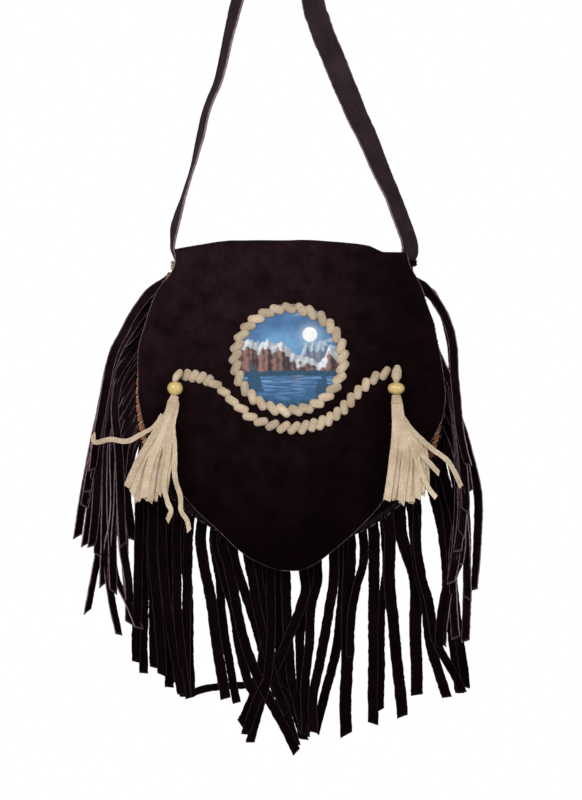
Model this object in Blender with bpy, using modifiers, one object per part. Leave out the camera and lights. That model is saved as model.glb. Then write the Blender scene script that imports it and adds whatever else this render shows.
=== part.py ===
"""Fringed suede shoulder bag with a fold-over flap, hanging from its strap.

Metres, +Z up, front towards -Y. The origin is where a peg would hold the strap.
Pieces are drawn in the bag's own frame, whose origin is the middle of the flap's fold,
and an empty places that frame under the peg.
"""

import math
import random

import bmesh
import bpy
import numpy as np
from mathutils import Vector

# Driving dimensions
FLAP_WIDTH = 0.276
FLAP_LENGTH = 0.298
BODY_WIDTH = 0.281
BODY_LENGTH = 0.277
MOUTH_DROP = 0.026
MOUTH_BULGE = 0.0095
POUCH_BULGE = 0.0185
FLAP_BULGE = 0.0085
FOLD_RADIUS = 0.0082
FOLD_SAG = 0.0035
FOLD_TAIL_ANGLE = math.radians(-28)
LEATHER = 0.0015
CLEARANCE = 0.0003

STRAP_DROP = 0.3222
STRAP_OFFSET = 0.0081
STRAP_WIDTH = 0.0205
STRAP_THICKNESS = 0.002
STRAP_TIED_WIDTH = 0.0095
STRAP_TIED_OFFSET = 0.0040
STRAP_TIED_TURN = 12
STRAP_TIED_SHARE = 0.02
TIE_DIAMETER = 0.0030
TIE_DROP = 0.0180
TIE_REACH = 0.0100

FRINGE_LENGTH = 0.192
FRINGE_THICKNESS = 0.0011
FRINGE_HEADER = 0.0095
STRIP_WIDTH = 0.0070
STRIP_SLIT = 0.0008
STRIP_LAYER = 0.0018
SIDE_STRIPS = 12
BOTTOM_STRIPS = 38
ROOT_SLANT = 0.62
SIDE_SEAM_LENGTH = 0.155
SIDE_SEAM_START = 0.006

LACE_WIDTH = 0.0100
LACE_HEIGHT = 0.0028
STITCH_PITCH = 0.0100
SEAM_LACE_WIDTH = 0.0070
SEAM_LACE_HEIGHT = 0.0019
SEAM_STITCH_PITCH = 0.0135

MEDALLION_DIAMETER = 0.1060
MEDALLION_DROP = 0.1074
MEDALLION_THICKNESS = 0.0016
MEDALLION_STITCHES = 29

BEAD_LENGTH = 0.0125
BEAD_DIAMETER = 0.0140
BEAD_BORE = 0.0036
THONG_DIAMETER = 0.0028
BEAD_LIFT = 0.0092
BEAD_DROP = 0.1335
BEAD_LEFT_X = -0.1029
BEAD_RIGHT_X = 0.0950
TASSEL_LENGTH = 0.0950
TASSEL_STRANDS = 9
TASSEL_STRAND_WIDTH = 0.0048
TASSEL_THICKNESS = 0.0010
TASSEL_ROLL_RADIUS = 0.0042
TASSEL_ROLL_LENGTH = 0.0140
TASSEL_ROLL_SWEEP = math.radians(316)
TASSEL_DEPTH_SPREAD = 0.0045
PIVOT_RISE = 0.0125

# Depths that follow from the thicknesses, from the fold outward
BACK_Y = FOLD_RADIUS + LEATHER + CLEARANCE
HEADER_Y = BACK_Y - LEATHER / 2 - CLEARANCE - FRINGE_THICKNESS / 2
FRONT_Y = HEADER_Y - FRINGE_THICKNESS / 2 - CLEARANCE - LEATHER / 2
STRAP_Y = BACK_Y + LEATHER / 2 + SEAM_LACE_HEIGHT + 2 * CLEARANCE + STRAP_THICKNESS / 2

# Half outlines, from the top corner down to the middle, as shares of half width and length
FLAP_EDGE = [
    (0.745, 0.00), (0.790, 0.09), (0.920, 0.20), (0.975, 0.33), (1.000, 0.46),
    (0.975, 0.575), (0.870, 0.655), (0.635, 0.775), (0.330, 0.920), (0.150, 0.985), (0.020, 1.00),
]
BODY_EDGE = [
    (0.750, 0.02), (0.795, 0.11), (0.920, 0.22), (0.975, 0.36), (1.000, 0.49),
    (0.985, 0.60), (0.925, 0.71), (0.790, 0.82), (0.540, 0.925), (0.260, 0.985), (0.000, 1.00),
]
POUCH_FOCUS = 0.55

SUEDE = (0.018, 0.0065, 0.008)
LACE_TAN = (0.50, 0.36, 0.24)
SEAM_TAN = (0.42, 0.20, 0.10)
BEAD_YELLOW = (0.62, 0.44, 0.12)
DISC_BLUE = (0.10, 0.26, 0.50)

rng = random.Random(11)


def clear_scene():
    for obj in list(bpy.data.objects):
        bpy.data.objects.remove(obj, do_unlink=True)


def new_collection(name):
    collection = bpy.data.collections.new(name)
    bpy.context.scene.collection.children.link(collection)
    return collection


def material(name, colour, roughness):
    made = bpy.data.materials.new(name)
    made.use_nodes = True
    shader = made.node_tree.nodes["Principled BSDF"]
    shader.inputs["Base Color"].default_value = (*colour, 1.0)
    shader.inputs["Roughness"].default_value = roughness
    made.diffuse_color = (*colour, 1.0)
    return made


def smooth_step(value):
    value = min(max(value, 0.0), 1.0)
    return value * value * (3 - 2 * value)


# Curves

def through(points, steps=12):
    """A smooth line through the points, as a Catmull-Rom curve."""
    points = [np.array(point, float) for point in points]
    padded = [2 * points[0] - points[1], *points, 2 * points[-1] - points[-2]]
    line = []
    for a, b, c, d in zip(padded, padded[1:], padded[2:], padded[3:]):
        for step in range(steps):
            t = step / steps
            bend = 2 * a - 5 * b + 4 * c - d
            twist = 3 * b - a - 3 * c + d
            line.append(b + 0.5 * t * ((c - a) + t * bend + t * t * twist))
    line.append(points[-1])
    return np.array(line)


class Line:
    """A line of points that can be read at any distance along it."""

    def __init__(self, points):
        self.points = np.array(points, float)
        steps = np.linalg.norm(np.diff(self.points, axis=0), axis=1)
        self.distances = np.concatenate([[0.0], np.cumsum(steps)])
        self.length = self.distances[-1]

    def at(self, distance):
        axes = range(self.points.shape[1])
        return np.array([np.interp(distance, self.distances, self.points[:, i]) for i in axes])

    def direction(self, distance, reach=0.002):
        ahead = self.at(min(distance + reach, self.length))
        step = ahead - self.at(max(distance - reach, 0.0))
        return step / np.linalg.norm(step)


def half_outline(edge, width, length):
    """(x, z) points of the right half, from the top corner to the middle of the bottom."""
    return through([(x * width / 2, -z * length) for x, z in edge])


def seam_line():
    """The pouch's U seam as (x, z), from the left end of the mouth round to the right end."""
    half = half_outline(BODY_EDGE, BODY_WIDTH, BODY_LENGTH)
    half = half[half[:, 1] <= -MOUTH_DROP]
    left = half * (-1, 1)
    return Line(np.concatenate([left, half[::-1][1:]]))


def outward(direction):
    """The outward side of a seam that runs from the left, under the bag, to the right."""
    return np.array([direction[1], -direction[0]])


# Surfaces

def flap_depth(x, z):
    """y of the flap's mid surface at a place on its hanging part."""
    down = min(max((-z - FOLD_RADIUS) / (FLAP_LENGTH - FOLD_RADIUS), 0.0), 1.0)
    across = 2 * x / FLAP_WIDTH
    return -FOLD_RADIUS - FLAP_BULGE * math.sin(math.pi * down ** 0.85) * (1 - 0.45 * across * across)


def on_flap(x, z, lift):
    """A point that stands off the flap's front face by the lift."""
    return np.array([x, flap_depth(x, z) - LEATHER / 2 - lift, z])


def pouch_depth(x, z, share, rim):
    """y of the front panel, where share runs from 0 at the seam to 1 at the middle."""
    inside = max(share - rim, 0.0) / (1 - rim)
    dome = math.sin(math.pi / 2 * smooth_step(inside) ** 0.8)
    lower = smooth_step((-z - MOUTH_DROP) / (0.45 * BODY_LENGTH))
    bulge = MOUTH_BULGE + (POUCH_BULGE - MOUTH_BULGE) * lower
    return FRONT_Y - bulge * dome


# Meshes

def mesh_object(name, build, paint):
    mesh = bpy.data.meshes.new(name)
    cage = bmesh.new()
    build(cage)
    bmesh.ops.remove_doubles(cage, verts=cage.verts, dist=1e-5)
    bmesh.ops.recalc_face_normals(cage, faces=cage.faces)
    cage.to_mesh(mesh)
    cage.free()
    mesh.shade_smooth()
    mesh.set_sharp_from_angle(angle=math.radians(50))
    mesh.materials.append(paint)
    obj = bpy.data.objects.new(name, mesh)
    parts.objects.link(obj)
    return obj


def add_grid(cage, rows):
    """Faces between rows of points. Rows have the same number of points."""
    made = [[cage.verts.new(point) for point in row] for row in rows]
    for upper, lower in zip(made, made[1:]):
        for i in range(len(upper) - 1):
            corners = [upper[i], upper[i + 1], lower[i + 1], lower[i]]
            places = {tuple(round(value, 6) for value in vert.co) for vert in corners}
            if len(places) == 4:
                cage.faces.new(corners)
            elif len(places) == 3:
                cage.faces.new([vert for i, vert in enumerate(corners)
                                if (vert.co - corners[i - 1].co).length > 1e-6])


def sheet(name, grids, thickness, paint):
    """A sheet of leather: an open surface with an even thickness."""
    obj = mesh_object(name, lambda cage: [add_grid(cage, rows) for rows in grids], paint)
    solid = obj.modifiers.new("Thickness", "SOLIDIFY")
    solid.thickness = thickness
    solid.offset = 0.0
    solid.use_even_offset = True
    return obj


def loft(cage, sections, closed):
    """A solid through closed sections, with flat ends unless it closes on itself."""
    made = [[cage.verts.new(point) for point in section] for section in sections]
    pairs = list(zip(made, made[1:] + made[:1])) if closed else list(zip(made, made[1:]))
    for one, two in pairs:
        for i in range(len(one)):
            j = (i + 1) % len(one)
            cage.faces.new([one[i], one[j], two[j], two[i]])
    if not closed:
        cage.faces.new(made[0])
        cage.faces.new(made[-1][::-1])


def tube(name, points, diameter, paint):
    """A round thong along the points, with closed ends."""
    curve = bpy.data.curves.new(name, "CURVE")
    curve.dimensions = "3D"
    curve.bevel_depth = diameter / 2
    curve.bevel_resolution = 1
    curve.use_fill_caps = True
    spline = curve.splines.new("POLY")
    spline.points.add(len(points) - 1)
    for place, point in zip(spline.points, points):
        place.co = (*point, 1.0)
    curve.materials.append(paint)
    obj = bpy.data.objects.new(name, curve)
    parts.objects.link(obj)
    return obj


# Laces

BRAID_PROFILE = [(-1.0, 0.0), (-0.62, 0.85), (0.0, 1.0), (0.62, 0.85), (1.0, 0.0)]
BRAID_RISE = [0.30, 1.0, 0.92]


def braid_sections(stitches, length, width, height, slant, place, rise=BRAID_RISE):
    """Sections of a row of slanted stitches. place(distance, across, lift) gives a point."""
    sections = []
    pitch = length / stitches
    for i in range(stitches * len(rise)):
        share = rise[i % len(rise)]
        distance = (i + 0.5) * pitch / len(rise)
        half = width / 2 * (0.80 + 0.20 * share)
        section = []
        for across, lift in BRAID_PROFILE:
            shifted = distance + slant * pitch * across
            section.append(place(shifted, across * half, height * lift * share))
        sections.append(section)
    return sections


def make_medallion_lace():
    """Slanted whip stitches round the rim of the picture disc, as one ring."""
    radius = MEDALLION_DIAMETER / 2 - 0.38 * LACE_WIDTH
    girth = 2 * math.pi * radius
    base = MEDALLION_THICKNESS + 2 * CLEARANCE

    def place(distance, across, lift):
        angle = distance / radius
        x = (radius + across) * math.sin(angle)
        z = (radius + across) * math.cos(angle) - MEDALLION_DROP
        return on_flap(x, z, base + lift)

    sections = braid_sections(MEDALLION_STITCHES, girth, LACE_WIDTH * 1.05, LACE_HEIGHT, -0.40, place)
    return mesh_object("medallion_lace", lambda cage: loft(cage, sections, True), lace_tan)


SWAG_ROUTE = [
    (-0.0940, -0.1215), (-0.0828, -0.1233), (-0.0700, -0.1280), (-0.0585, -0.1372),
    (-0.0468, -0.1494), (-0.0300, -0.1622), (-0.0100, -0.1678), (0.0100, -0.1684),
    (0.0290, -0.1638), (0.0440, -0.1550), (0.0560, -0.1425), (0.0680, -0.1300), (0.0863, -0.1208),
]


def make_swag_lace():
    """The rope of slanted stitches that hangs between the beads, under the medallion."""
    route = Line(through(SWAG_ROUTE))
    stitches = round(route.length / STITCH_PITCH)

    def place(distance, across, lift):
        centre = route.at(distance)
        along = route.direction(min(max(distance, 0.0), route.length))
        spare = distance - min(max(distance, 0.0), route.length)
        x, z = centre + along * spare + np.array([-along[1], along[0]]) * across
        return on_flap(x, z, CLEARANCE + lift)

    sections = braid_sections(stitches, route.length, LACE_WIDTH, LACE_HEIGHT, -0.40, place)
    return mesh_object("swag_lace", lambda cage: loft(cage, sections, False), lace_tan)


def make_seam_lace(seam):
    """The whip-stitch lace of the pouch's seam: a front run and a back run, joined at one end."""
    inset = SEAM_LACE_WIDTH * 0.56
    stitches = round(seam.length / SEAM_STITCH_PITCH)
    front_face = FRONT_Y - LEATHER / 2 - CLEARANCE
    back_face = BACK_Y + LEATHER / 2 + CLEARANCE

    def run(face, side):
        def place(distance, across, lift):
            held = min(max(distance, 0.0), seam.length)
            along = seam.direction(held)
            x, z = seam.at(held) + along * (distance - held) + outward(along) * (across - inset)
            return np.array([x, face + side * lift, z])
        return place

    rise = [0.35, 1.0]
    sizes = (stitches, seam.length, SEAM_LACE_WIDTH, SEAM_LACE_HEIGHT)
    front = braid_sections(*sizes, -0.35, run(front_face, -1), rise)
    back = braid_sections(*sizes, 0.35, run(back_face, 1), rise)
    pivot = seam.at(seam.length) + (SEAM_LACE_WIDTH / 2 - inset, 0.0)
    beyond = seam.at(seam.length)[0] + 3 * CLEARANCE
    middle = (front_face + back_face) / 2

    def wrap(x, y, facing, turn):
        """A section of the lace where it turns over the seam's end."""
        lift = np.array([math.cos(facing), math.sin(facing), 0.0]) * SEAM_LACE_HEIGHT * 0.6
        across = np.array([-math.cos(turn), 0.0, math.sin(turn)]) * SEAM_LACE_WIDTH * 0.45
        return [np.array([x, y, pivot[1]]) + across * (1 - share) + lift * rise_up
                for share, rise_up in BRAID_PROFILE]

    quarter = math.pi / 2
    bridge = [
        wrap(pivot[0], front_face, -quarter, quarter / 2),
        wrap(pivot[0], front_face, -quarter, quarter),
        wrap(beyond, front_face, -quarter / 2, quarter),
        wrap(beyond + CLEARANCE, middle, 0.0, quarter),
        wrap(beyond, back_face, quarter / 2, quarter),
        wrap(pivot[0], back_face, quarter, quarter),
        wrap(pivot[0], back_face, quarter, quarter / 2),
    ]
    sections = front + bridge + back[::-1]
    return mesh_object("seam_lace", lambda cage: loft(cage, sections, False), seam_tan)


# Panels

def make_back_panel():
    """The flat back, cut to the seam's outline and running up to the fold."""
    half = half_outline(BODY_EDGE, BODY_WIDTH, BODY_LENGTH)[::3]
    top = -FOLD_RADIUS + 0.002
    right = [(half[0][0], top)] + [tuple(point) for point in half if point[1] < top - 0.001]
    outline = right + [(-x, z) for x, z in right[::-1] if x > 1e-4]

    def build(cage):
        cage.faces.new([cage.verts.new((x, BACK_Y, z)) for x, z in outline])

    obj = mesh_object("back_panel", build, suede)
    solid = obj.modifiers.new("Thickness", "SOLIDIFY")
    solid.thickness = LEATHER
    solid.offset = 0.0
    return obj


def make_front_panel(seam):
    """The pouch's front: flat at the seam, domed inside it, open at the mouth."""
    columns = 30
    rim = 0.13
    shares = [0.0, rim, 0.32, 0.58, 1.0]
    focus = -POUCH_FOCUS * BODY_LENGTH
    rows = []
    for share in shares:
        row = []
        for i in range(columns + 1):
            x, z = seam.at(seam.length * i / columns)
            middle_z = max(z, focus)
            px, pz = x * (1 - share), z + (middle_z - z) * share
            row.append((px, pouch_depth(px, pz, share, rim), pz))
        rows.append(row)
    return sheet("front_panel", [rows], LEATHER, suede)


def make_flap():
    """The flap: tucked in behind, folded over the top and hanging down the front."""
    edge = Line(half_outline(FLAP_EDGE, FLAP_WIDTH, FLAP_LENGTH))
    top_half = edge.points[0][0]
    columns = 10
    fold_steps = 6
    drop_steps = 15
    rows = []
    for step in range(fold_steps + 1):
        turn = FOLD_TAIL_ANGLE + (math.pi - FOLD_TAIL_ANGLE) * step / fold_steps
        y = FOLD_RADIUS * math.cos(turn)
        z = FOLD_RADIUS * (math.sin(turn) - 1)
        shares = [2 * i / columns - 1 for i in range(columns + 1)]
        rows.append([(top_half * share, y, z - FOLD_SAG * share * share) for share in shares])
    start = np.interp(-FOLD_RADIUS, edge.points[::-1, 1], edge.distances[::-1])
    for step in range(1, drop_steps + 1):
        half, z = edge.at(start + (edge.length - start) * step / drop_steps)
        sag = FOLD_SAG * (1 - step / drop_steps) ** 2
        row = []
        for i in range(columns + 1):
            share = 2 * i / columns - 1
            x, lowered = half * share, z - sag * share * share
            row.append((x, flap_depth(x, lowered), lowered))
        rows.append(row)
    return sheet("flap", [rows], LEATHER, suede)


# Fringe

def strip_line(root, start_angle, lean, length, layer, bend, steps):
    """Middle points and width directions of one strip that leaves the seam and hangs."""
    places = [length * (k / steps) ** 1.35 for k in range(steps + 1)]
    fine = 400
    x, z = root
    points, sides = [], []
    angle = start_angle
    for k in range(fine + 1):
        distance = length * k / fine
        angle = lean + (start_angle - lean) * math.exp(-distance / bend)
        if len(points) <= steps and distance >= places[len(points)] - 1e-9:
            shift = smooth_step((distance - 0.004) / 0.040)
            points.append(np.array([x, HEADER_Y + (layer - HEADER_Y) * shift, z]))
            sides.append(np.array([math.cos(angle), 0.0, math.sin(angle)]))
        x += math.sin(angle) * length / fine
        z -= math.cos(angle) * length / fine
    return points, sides


def comb(name, seam, start, end, count, lean_of, layer_of, length_of, bend, steps):
    """One length of fringe leather: a header held in the seam, cut into hanging strips."""
    pitch = (end - start) / count
    grids = []
    inner_before = outer_before = None
    for i in range(count):
        middle = start + (i + 0.5) * pitch
        width = min(STRIP_WIDTH * rng.uniform(0.92, 1.08), pitch - STRIP_SLIT)
        along = seam.direction(middle)
        out = outward(along)
        root = seam.at(middle) + out * CLEARANCE
        angle = ROOT_SLANT * math.atan2(out[0], -out[1])
        points, sides = strip_line(
            root, angle, lean_of(i, root[0]), length_of(i), layer_of(i), bend, steps)
        cut = rng.uniform(0.3, 0.8) * rng.choice((-1, 1)) * width / 2
        rows = []
        sides[0] = np.array([along[0], 0.0, along[1]])
        for k, (point, side) in enumerate(zip(points, sides)):
            taper = width * (1 - 0.10 * k / steps) / 2
            down = np.array([side[2], 0.0, -side[0]]) * (cut if k == steps else 0.0)
            rows.append([point - side * taper - down, point + side * taper + down])
        grids.append(rows)
        inner = [spot - np.array([out[0], 0.0, out[1]]) * FRINGE_HEADER for spot in rows[0]]
        grids.append([inner, rows[0]])
        if inner_before is not None:
            grids.append([[inner_before, inner[0]], [outer_before, rows[0][0]]])
        inner_before, outer_before = inner[1], rows[0][1]
    return sheet(name, grids, FRINGE_THICKNESS, suede)


# Length of the bottom strips as a share of FRINGE_LENGTH, against their place from left to right
BOTTOM_CUT = [
    (0.0, 1.04), (0.12, 0.94), (0.22, 0.83), (0.36, 0.79), (0.43, 0.90), (0.50, 0.98),
    (0.60, 0.93), (0.80, 0.95), (1.0, 0.98),
]


def make_fringe(seam):
    """Three lengths of fringe round the seam: left side, bottom and right side."""
    side_end = SIDE_SEAM_START + SIDE_SEAM_LENGTH
    bottom_start = side_end + 4 * CLEARANCE

    def side_layer(rank):
        return HEADER_Y - STRIP_LAYER * (rank + 1)

    def left_layer(i):
        return side_layer(SIDE_STRIPS - 1 - i)

    def bottom_layer(i):
        return HEADER_Y + (STRIP_LAYER * 1.15) * ((i * 2) % 3 - 1)

    def side_length(i):
        return FRINGE_LENGTH * rng.uniform(0.95, 1.06)

    def bottom_length(i):
        share = np.interp(i / (BOTTOM_STRIPS - 1), *zip(*BOTTOM_CUT))
        return FRINGE_LENGTH * share * rng.uniform(0.97, 1.03)

    def left_lean(i, x):
        return -math.radians(rng.uniform(6.0, 9.5))

    def bottom_lean(i, x):
        return math.radians(4.0 * x / (BODY_WIDTH / 2) + rng.uniform(-2.2, 2.2))

    def right_lean(i, x):
        return math.radians(rng.uniform(3.0, 6.5))

    comb("fringe_left", seam, SIDE_SEAM_START, side_end, SIDE_STRIPS,
         left_lean, left_layer, side_length, 0.032, 8)
    comb("fringe_bottom", seam, bottom_start, seam.length - bottom_start, BOTTOM_STRIPS,
         bottom_lean, bottom_layer, bottom_length, 0.016, 6)
    comb("fringe_right", seam, seam.length - side_end, seam.length - SIDE_SEAM_START, SIDE_STRIPS,
         right_lean, side_layer, side_length, 0.028, 8)


# Strap

STRAP_ROUTE = [
    (-0.1060, -0.0235), (-0.1068, 0.0000), (-0.1004, 0.0297), (-0.0918, 0.0675),
    (-0.0837, 0.0945), (-0.0774, 0.1100), (-0.0675, 0.1260), (-0.0576, 0.1710),
    (-0.0477, 0.2160), (-0.0300, 0.2760), (-0.0222, 0.3040), (-0.0160, 0.3170), (-0.0081, 0.3222),
    (0.0000, 0.3170), (0.0052, 0.3040), (0.0102, 0.2760), (0.0218, 0.2160), (0.0387, 0.1710),
    (0.0567, 0.1260), (0.0765, 0.0810), (0.0968, 0.0360), (0.1090, 0.0000), (0.1092, -0.0120),
    (0.1075, -0.0215), (0.1060, -0.0300),
]
# Turn of the strap's width away from Y, in degrees, against the share of its length
STRAP_TWIST = [
    (0.0, STRAP_TIED_TURN), (0.12, 18), (0.17, 40), (0.35, 34), (0.49, 0), (0.53, 0), (0.66, 90),
    (0.84, 86), (0.90, 52), (1 - 2 * STRAP_TIED_SHARE, STRAP_TIED_TURN), (1.0, STRAP_TIED_TURN),
]


def make_strap():
    """One flat strip over the peg, gathered at both ends: its right leg faces front, its left is on edge."""
    route = Line(through(STRAP_ROUTE))
    sections = []
    count = 44
    for i in range(count + 1):
        share = i / count
        x, z = route.at(route.length * share)
        along = route.direction(route.length * share)
        raised = smooth_step(z / STRAP_DROP)
        from_end = min(share, 1 - share)
        end_y = STRAP_Y + STRAP_TIED_OFFSET * (1 - smooth_step(from_end / 0.25))
        centre = np.array([x, end_y * (1 - raised), z + STRAP_THICKNESS / 2])
        turn = math.radians(np.interp(share, *zip(*STRAP_TWIST)))
        across = np.array([-along[1], 0.0, along[0]])
        width = np.array([0.0, 1.0, 0.0]) * math.cos(turn) + across * math.sin(turn)
        normal = np.cross(np.array([along[0], 0.0, along[1]]), width)
        spread = smooth_step(share / 0.16) * smooth_step((1 - share - STRAP_TIED_SHARE) / 0.09)
        half = (STRAP_TIED_WIDTH + (STRAP_WIDTH - STRAP_TIED_WIDTH) * spread) / 2
        thick = normal * STRAP_THICKNESS / 2
        sections.append([
            centre - width * half - thick, centre + width * half - thick,
            centre + width * half + thick, centre - width * half + thick,
        ])
    return mesh_object("strap", lambda cage: loft(cage, sections, False), suede)


def make_strap_tie(name, side, z, paint):
    """A lace that holds the strap's end: from behind it, round the edge, to the panel's front."""
    held = sorted((point[1], abs(point[0])) for point in STRAP_ROUTE if point[0] * side > 0)
    turn = math.radians(STRAP_TIED_TURN)
    strap_edge = np.interp(z, *zip(*held)) + (STRAP_TIED_WIDTH * math.sin(turn) + STRAP_THICKNESS) / 2
    panel = half_outline(BODY_EDGE, BODY_WIDTH, BODY_LENGTH)[::-1]
    panel_edge = np.interp(z - TIE_DIAMETER, panel[:, 1], panel[:, 0])
    half = TIE_DIAMETER / 2 + CLEARANCE
    x = max(strap_edge, panel_edge) + half
    back = STRAP_Y + STRAP_TIED_OFFSET + STRAP_TIED_WIDTH / 2 + half
    front = BACK_Y - LEATHER / 2 - half
    corner = 0.002
    route = [
        (x - TIE_REACH, back, z), (x - corner, back, z), (x, back - corner, z),
        (x, front + corner, z), (x - corner, front, z), (x - TIE_REACH, front, z),
    ]
    line = Line(through([(side * px, py, pz) for px, py, pz in route], 6))
    return tube(name, [line.at(line.length * i / 16) for i in range(17)], TIE_DIAMETER, paint)


# Medallion, beads and tassels

# Routes of the strands that strayed from each tassel, from the end of its roll
LEFT_STRAYS = {
    1: [(0.0, 0.0), (-0.012, -0.014), (-0.038, -0.0225), (-0.066, -0.0265), (-0.076, -0.0205)],
    5: [(0.0, 0.0), (0.003, -0.030), (0.004, -0.060), (0.0095, -0.084), (0.0135, -0.106)],
    6: [(0.0, 0.0), (-0.001, -0.035), (-0.004, -0.070), (-0.008, -0.098)],
}
RIGHT_STRAYS = {
    7: [(0.0, 0.0), (0.007, -0.012), (0.027, -0.035), (0.045, -0.051), (0.055, -0.067)],
}
# Side, place, the bead's width and height, how far the strands lean and spread, and the strays
TASSEL_SETS = [
    ("left", BEAD_LEFT_X, 1.0, 1.0, (-0.018, 0.017), LEFT_STRAYS),
    ("right", BEAD_RIGHT_X, 1.09, 0.86, (0.010, 0.018), RIGHT_STRAYS),
]


def make_medallion_disc():
    """The round leather disc that carries the painting."""
    radius = MEDALLION_DIAMETER / 2
    turns = MEDALLION_STITCHES
    lift = CLEARANCE + MEDALLION_THICKNESS / 2
    rows = []
    for reach in (0.0, radius / 2, radius):
        angles = [2 * math.pi * i / turns for i in range(turns + 1)]
        rows.append([
            on_flap(reach * math.sin(a), reach * math.cos(a) - MEDALLION_DROP, lift) for a in angles
        ])
    return sheet("medallion_disc", [rows], MEDALLION_THICKNESS, disc_blue)


def make_bead(name, x, diameter, length):
    """A turned bead with a bore for its thong."""
    rings = [
        (BEAD_BORE / 2, 0.5), (0.30 * diameter, 0.48), (0.45 * diameter, 0.28), (0.5 * diameter, 0.0),
        (0.45 * diameter, -0.28), (0.30 * diameter, -0.48), (BEAD_BORE / 2, -0.5),
    ]
    mesh = bpy.data.meshes.new(name)
    cage = bmesh.new()
    ring = [cage.verts.new((radius, 0.0, share * length)) for radius, share in rings]
    for one, two in zip(ring, ring[1:] + ring[:1]):
        cage.edges.new((one, two))
    cage.to_mesh(mesh)
    cage.free()
    mesh.materials.append(bead_yellow)
    obj = bpy.data.objects.new(name, mesh)
    turned = obj.modifiers.new("Turned", "SCREW")
    turned.steps = turned.render_steps = 14
    turned.use_merge_vertices = True
    turned.merge_threshold = 0.0001
    turned.use_smooth_shade = True
    parts.objects.link(obj)
    return obj, bead_centre(x)


def bead_centre(x):
    return np.array([x, flap_depth(x, -BEAD_DROP) - LEATHER / 2 - BEAD_LIFT, -BEAD_DROP])


def pivot_of(x):
    """Where the thong leaves the flap above a bead."""
    return bead_centre(x) + np.array([0.0, 0.0, PIVOT_RISE])


def make_thong(name, x, bead_length):
    """The thong from the flap, through the bead and into the tassel's roll."""
    centre = bead_centre(x)
    top = pivot_of(x)
    low = centre - np.array([0.0, 0.0, bead_length / 2 + 0.6 * TASSEL_ROLL_LENGTH])
    points = [
        on_flap(x, top[2], CLEARANCE), on_flap(x, top[2], 0.55 * BEAD_LIFT),
        top + np.array([0.0, 0.0, -0.12 * BEAD_LIFT]), centre, low,
    ]
    return tube(name, points, THONG_DIAMETER, lace_tan)


def make_tassel(name, x, bead_length, fan, strays):
    """A strip of suede rolled round the thong, with its lower part cut into strands."""
    centre = bead_centre(x)
    top_z = centre[2] - bead_length / 2 - 2 * CLEARANCE
    roll_z = top_z - TASSEL_ROLL_LENGTH
    count = TASSEL_STRANDS
    grids = []
    pitch = TASSEL_ROLL_SWEEP / count
    before = None
    for i in range(count):
        turns = [pitch * (i + side) - TASSEL_ROLL_SWEEP / 2 for side in (0.06, 0.94)]
        ring = [np.array([math.sin(turn), math.cos(turn), 0.0]) for turn in turns]
        upper = [np.array([x, centre[1], top_z]) + spoke * TASSEL_ROLL_RADIUS for spoke in ring]
        lower = [np.array([x, centre[1], roll_z]) + spoke * TASSEL_ROLL_RADIUS for spoke in ring]
        grids.append([upper, lower])
        if before is not None:
            grids.append([[before[0], upper[0]], [before[1], lower[0]]])
        before = (upper[1], lower[1])
        grids.append(strand_rows(lower, (turns[0] + turns[1]) / 2, fan, strays.get(i)))
    return sheet(name, grids, TASSEL_THICKNESS, lace_tan)


def strand_rows(root, turn, fan, stray):
    """Pairs of edge points down one strand, which spreads out from the roll."""
    middle = (root[0] + root[1]) / 2
    spoke = (math.sin(turn), math.cos(turn))
    side = (root[1] - root[0]) / np.linalg.norm(root[1] - root[0])
    if stray:
        route, steps = stray, 8
    else:
        length = (TASSEL_LENGTH - TASSEL_ROLL_LENGTH) * rng.uniform(0.93, 1.06)
        aim = fan[0] + fan[1] * spoke[0]
        route, steps = Line(through([(0.0, 0.0), (0.42 * aim, -length / 2), (aim, -length)])), 5
    rows = [root]
    for k in range(1, steps + 1):
        share = k / steps
        x, z = route.at(route.length * share)
        along = route.direction(route.length * share)
        flat = np.array([-along[1], 0.0, along[0]]) * (1 if side[0] >= 0 else -1)
        across = side * (1 - share) ** 2 + flat * share
        across = across / np.linalg.norm(across)
        half = TASSEL_STRAND_WIDTH / 2 * min(1.0, 0.55 + share)
        point = middle + np.array([x, spoke[1] * TASSEL_DEPTH_SPREAD * share, z])
        rows.append([point - across * half, point + across * half])
    return rows


# Assembly

def empty(name, location, parent=None):
    obj = bpy.data.objects.new(name, None)
    obj.empty_display_size = 0.01
    obj.location = location
    obj.parent = parent
    parts.objects.link(obj)
    return obj


def carry(obj, parent, origin, place=(0.0, 0.0, 0.0)):
    """Parents a piece drawn in the bag's frame to an empty whose place in it is origin."""
    obj.parent = parent
    obj.location = Vector(place) - Vector(origin)


def make_tassel_set(side_name, x, bead_size, fan, strays, hinge, hinge_at):
    pivot_at = pivot_of(x)
    pivot = empty(side_name + "_tassel_pivot", Vector(pivot_at) - Vector(hinge_at), hinge)
    bead, centre = make_bead("bead_" + side_name, x, *bead_size)
    carry(bead, pivot, pivot_at, centre)
    carry(make_thong("tassel_thong_" + side_name, x, bead_size[1]), pivot, pivot_at)
    carry(make_tassel("tassel_" + side_name, x, bead_size[1], fan, strays), pivot, pivot_at)


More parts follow.
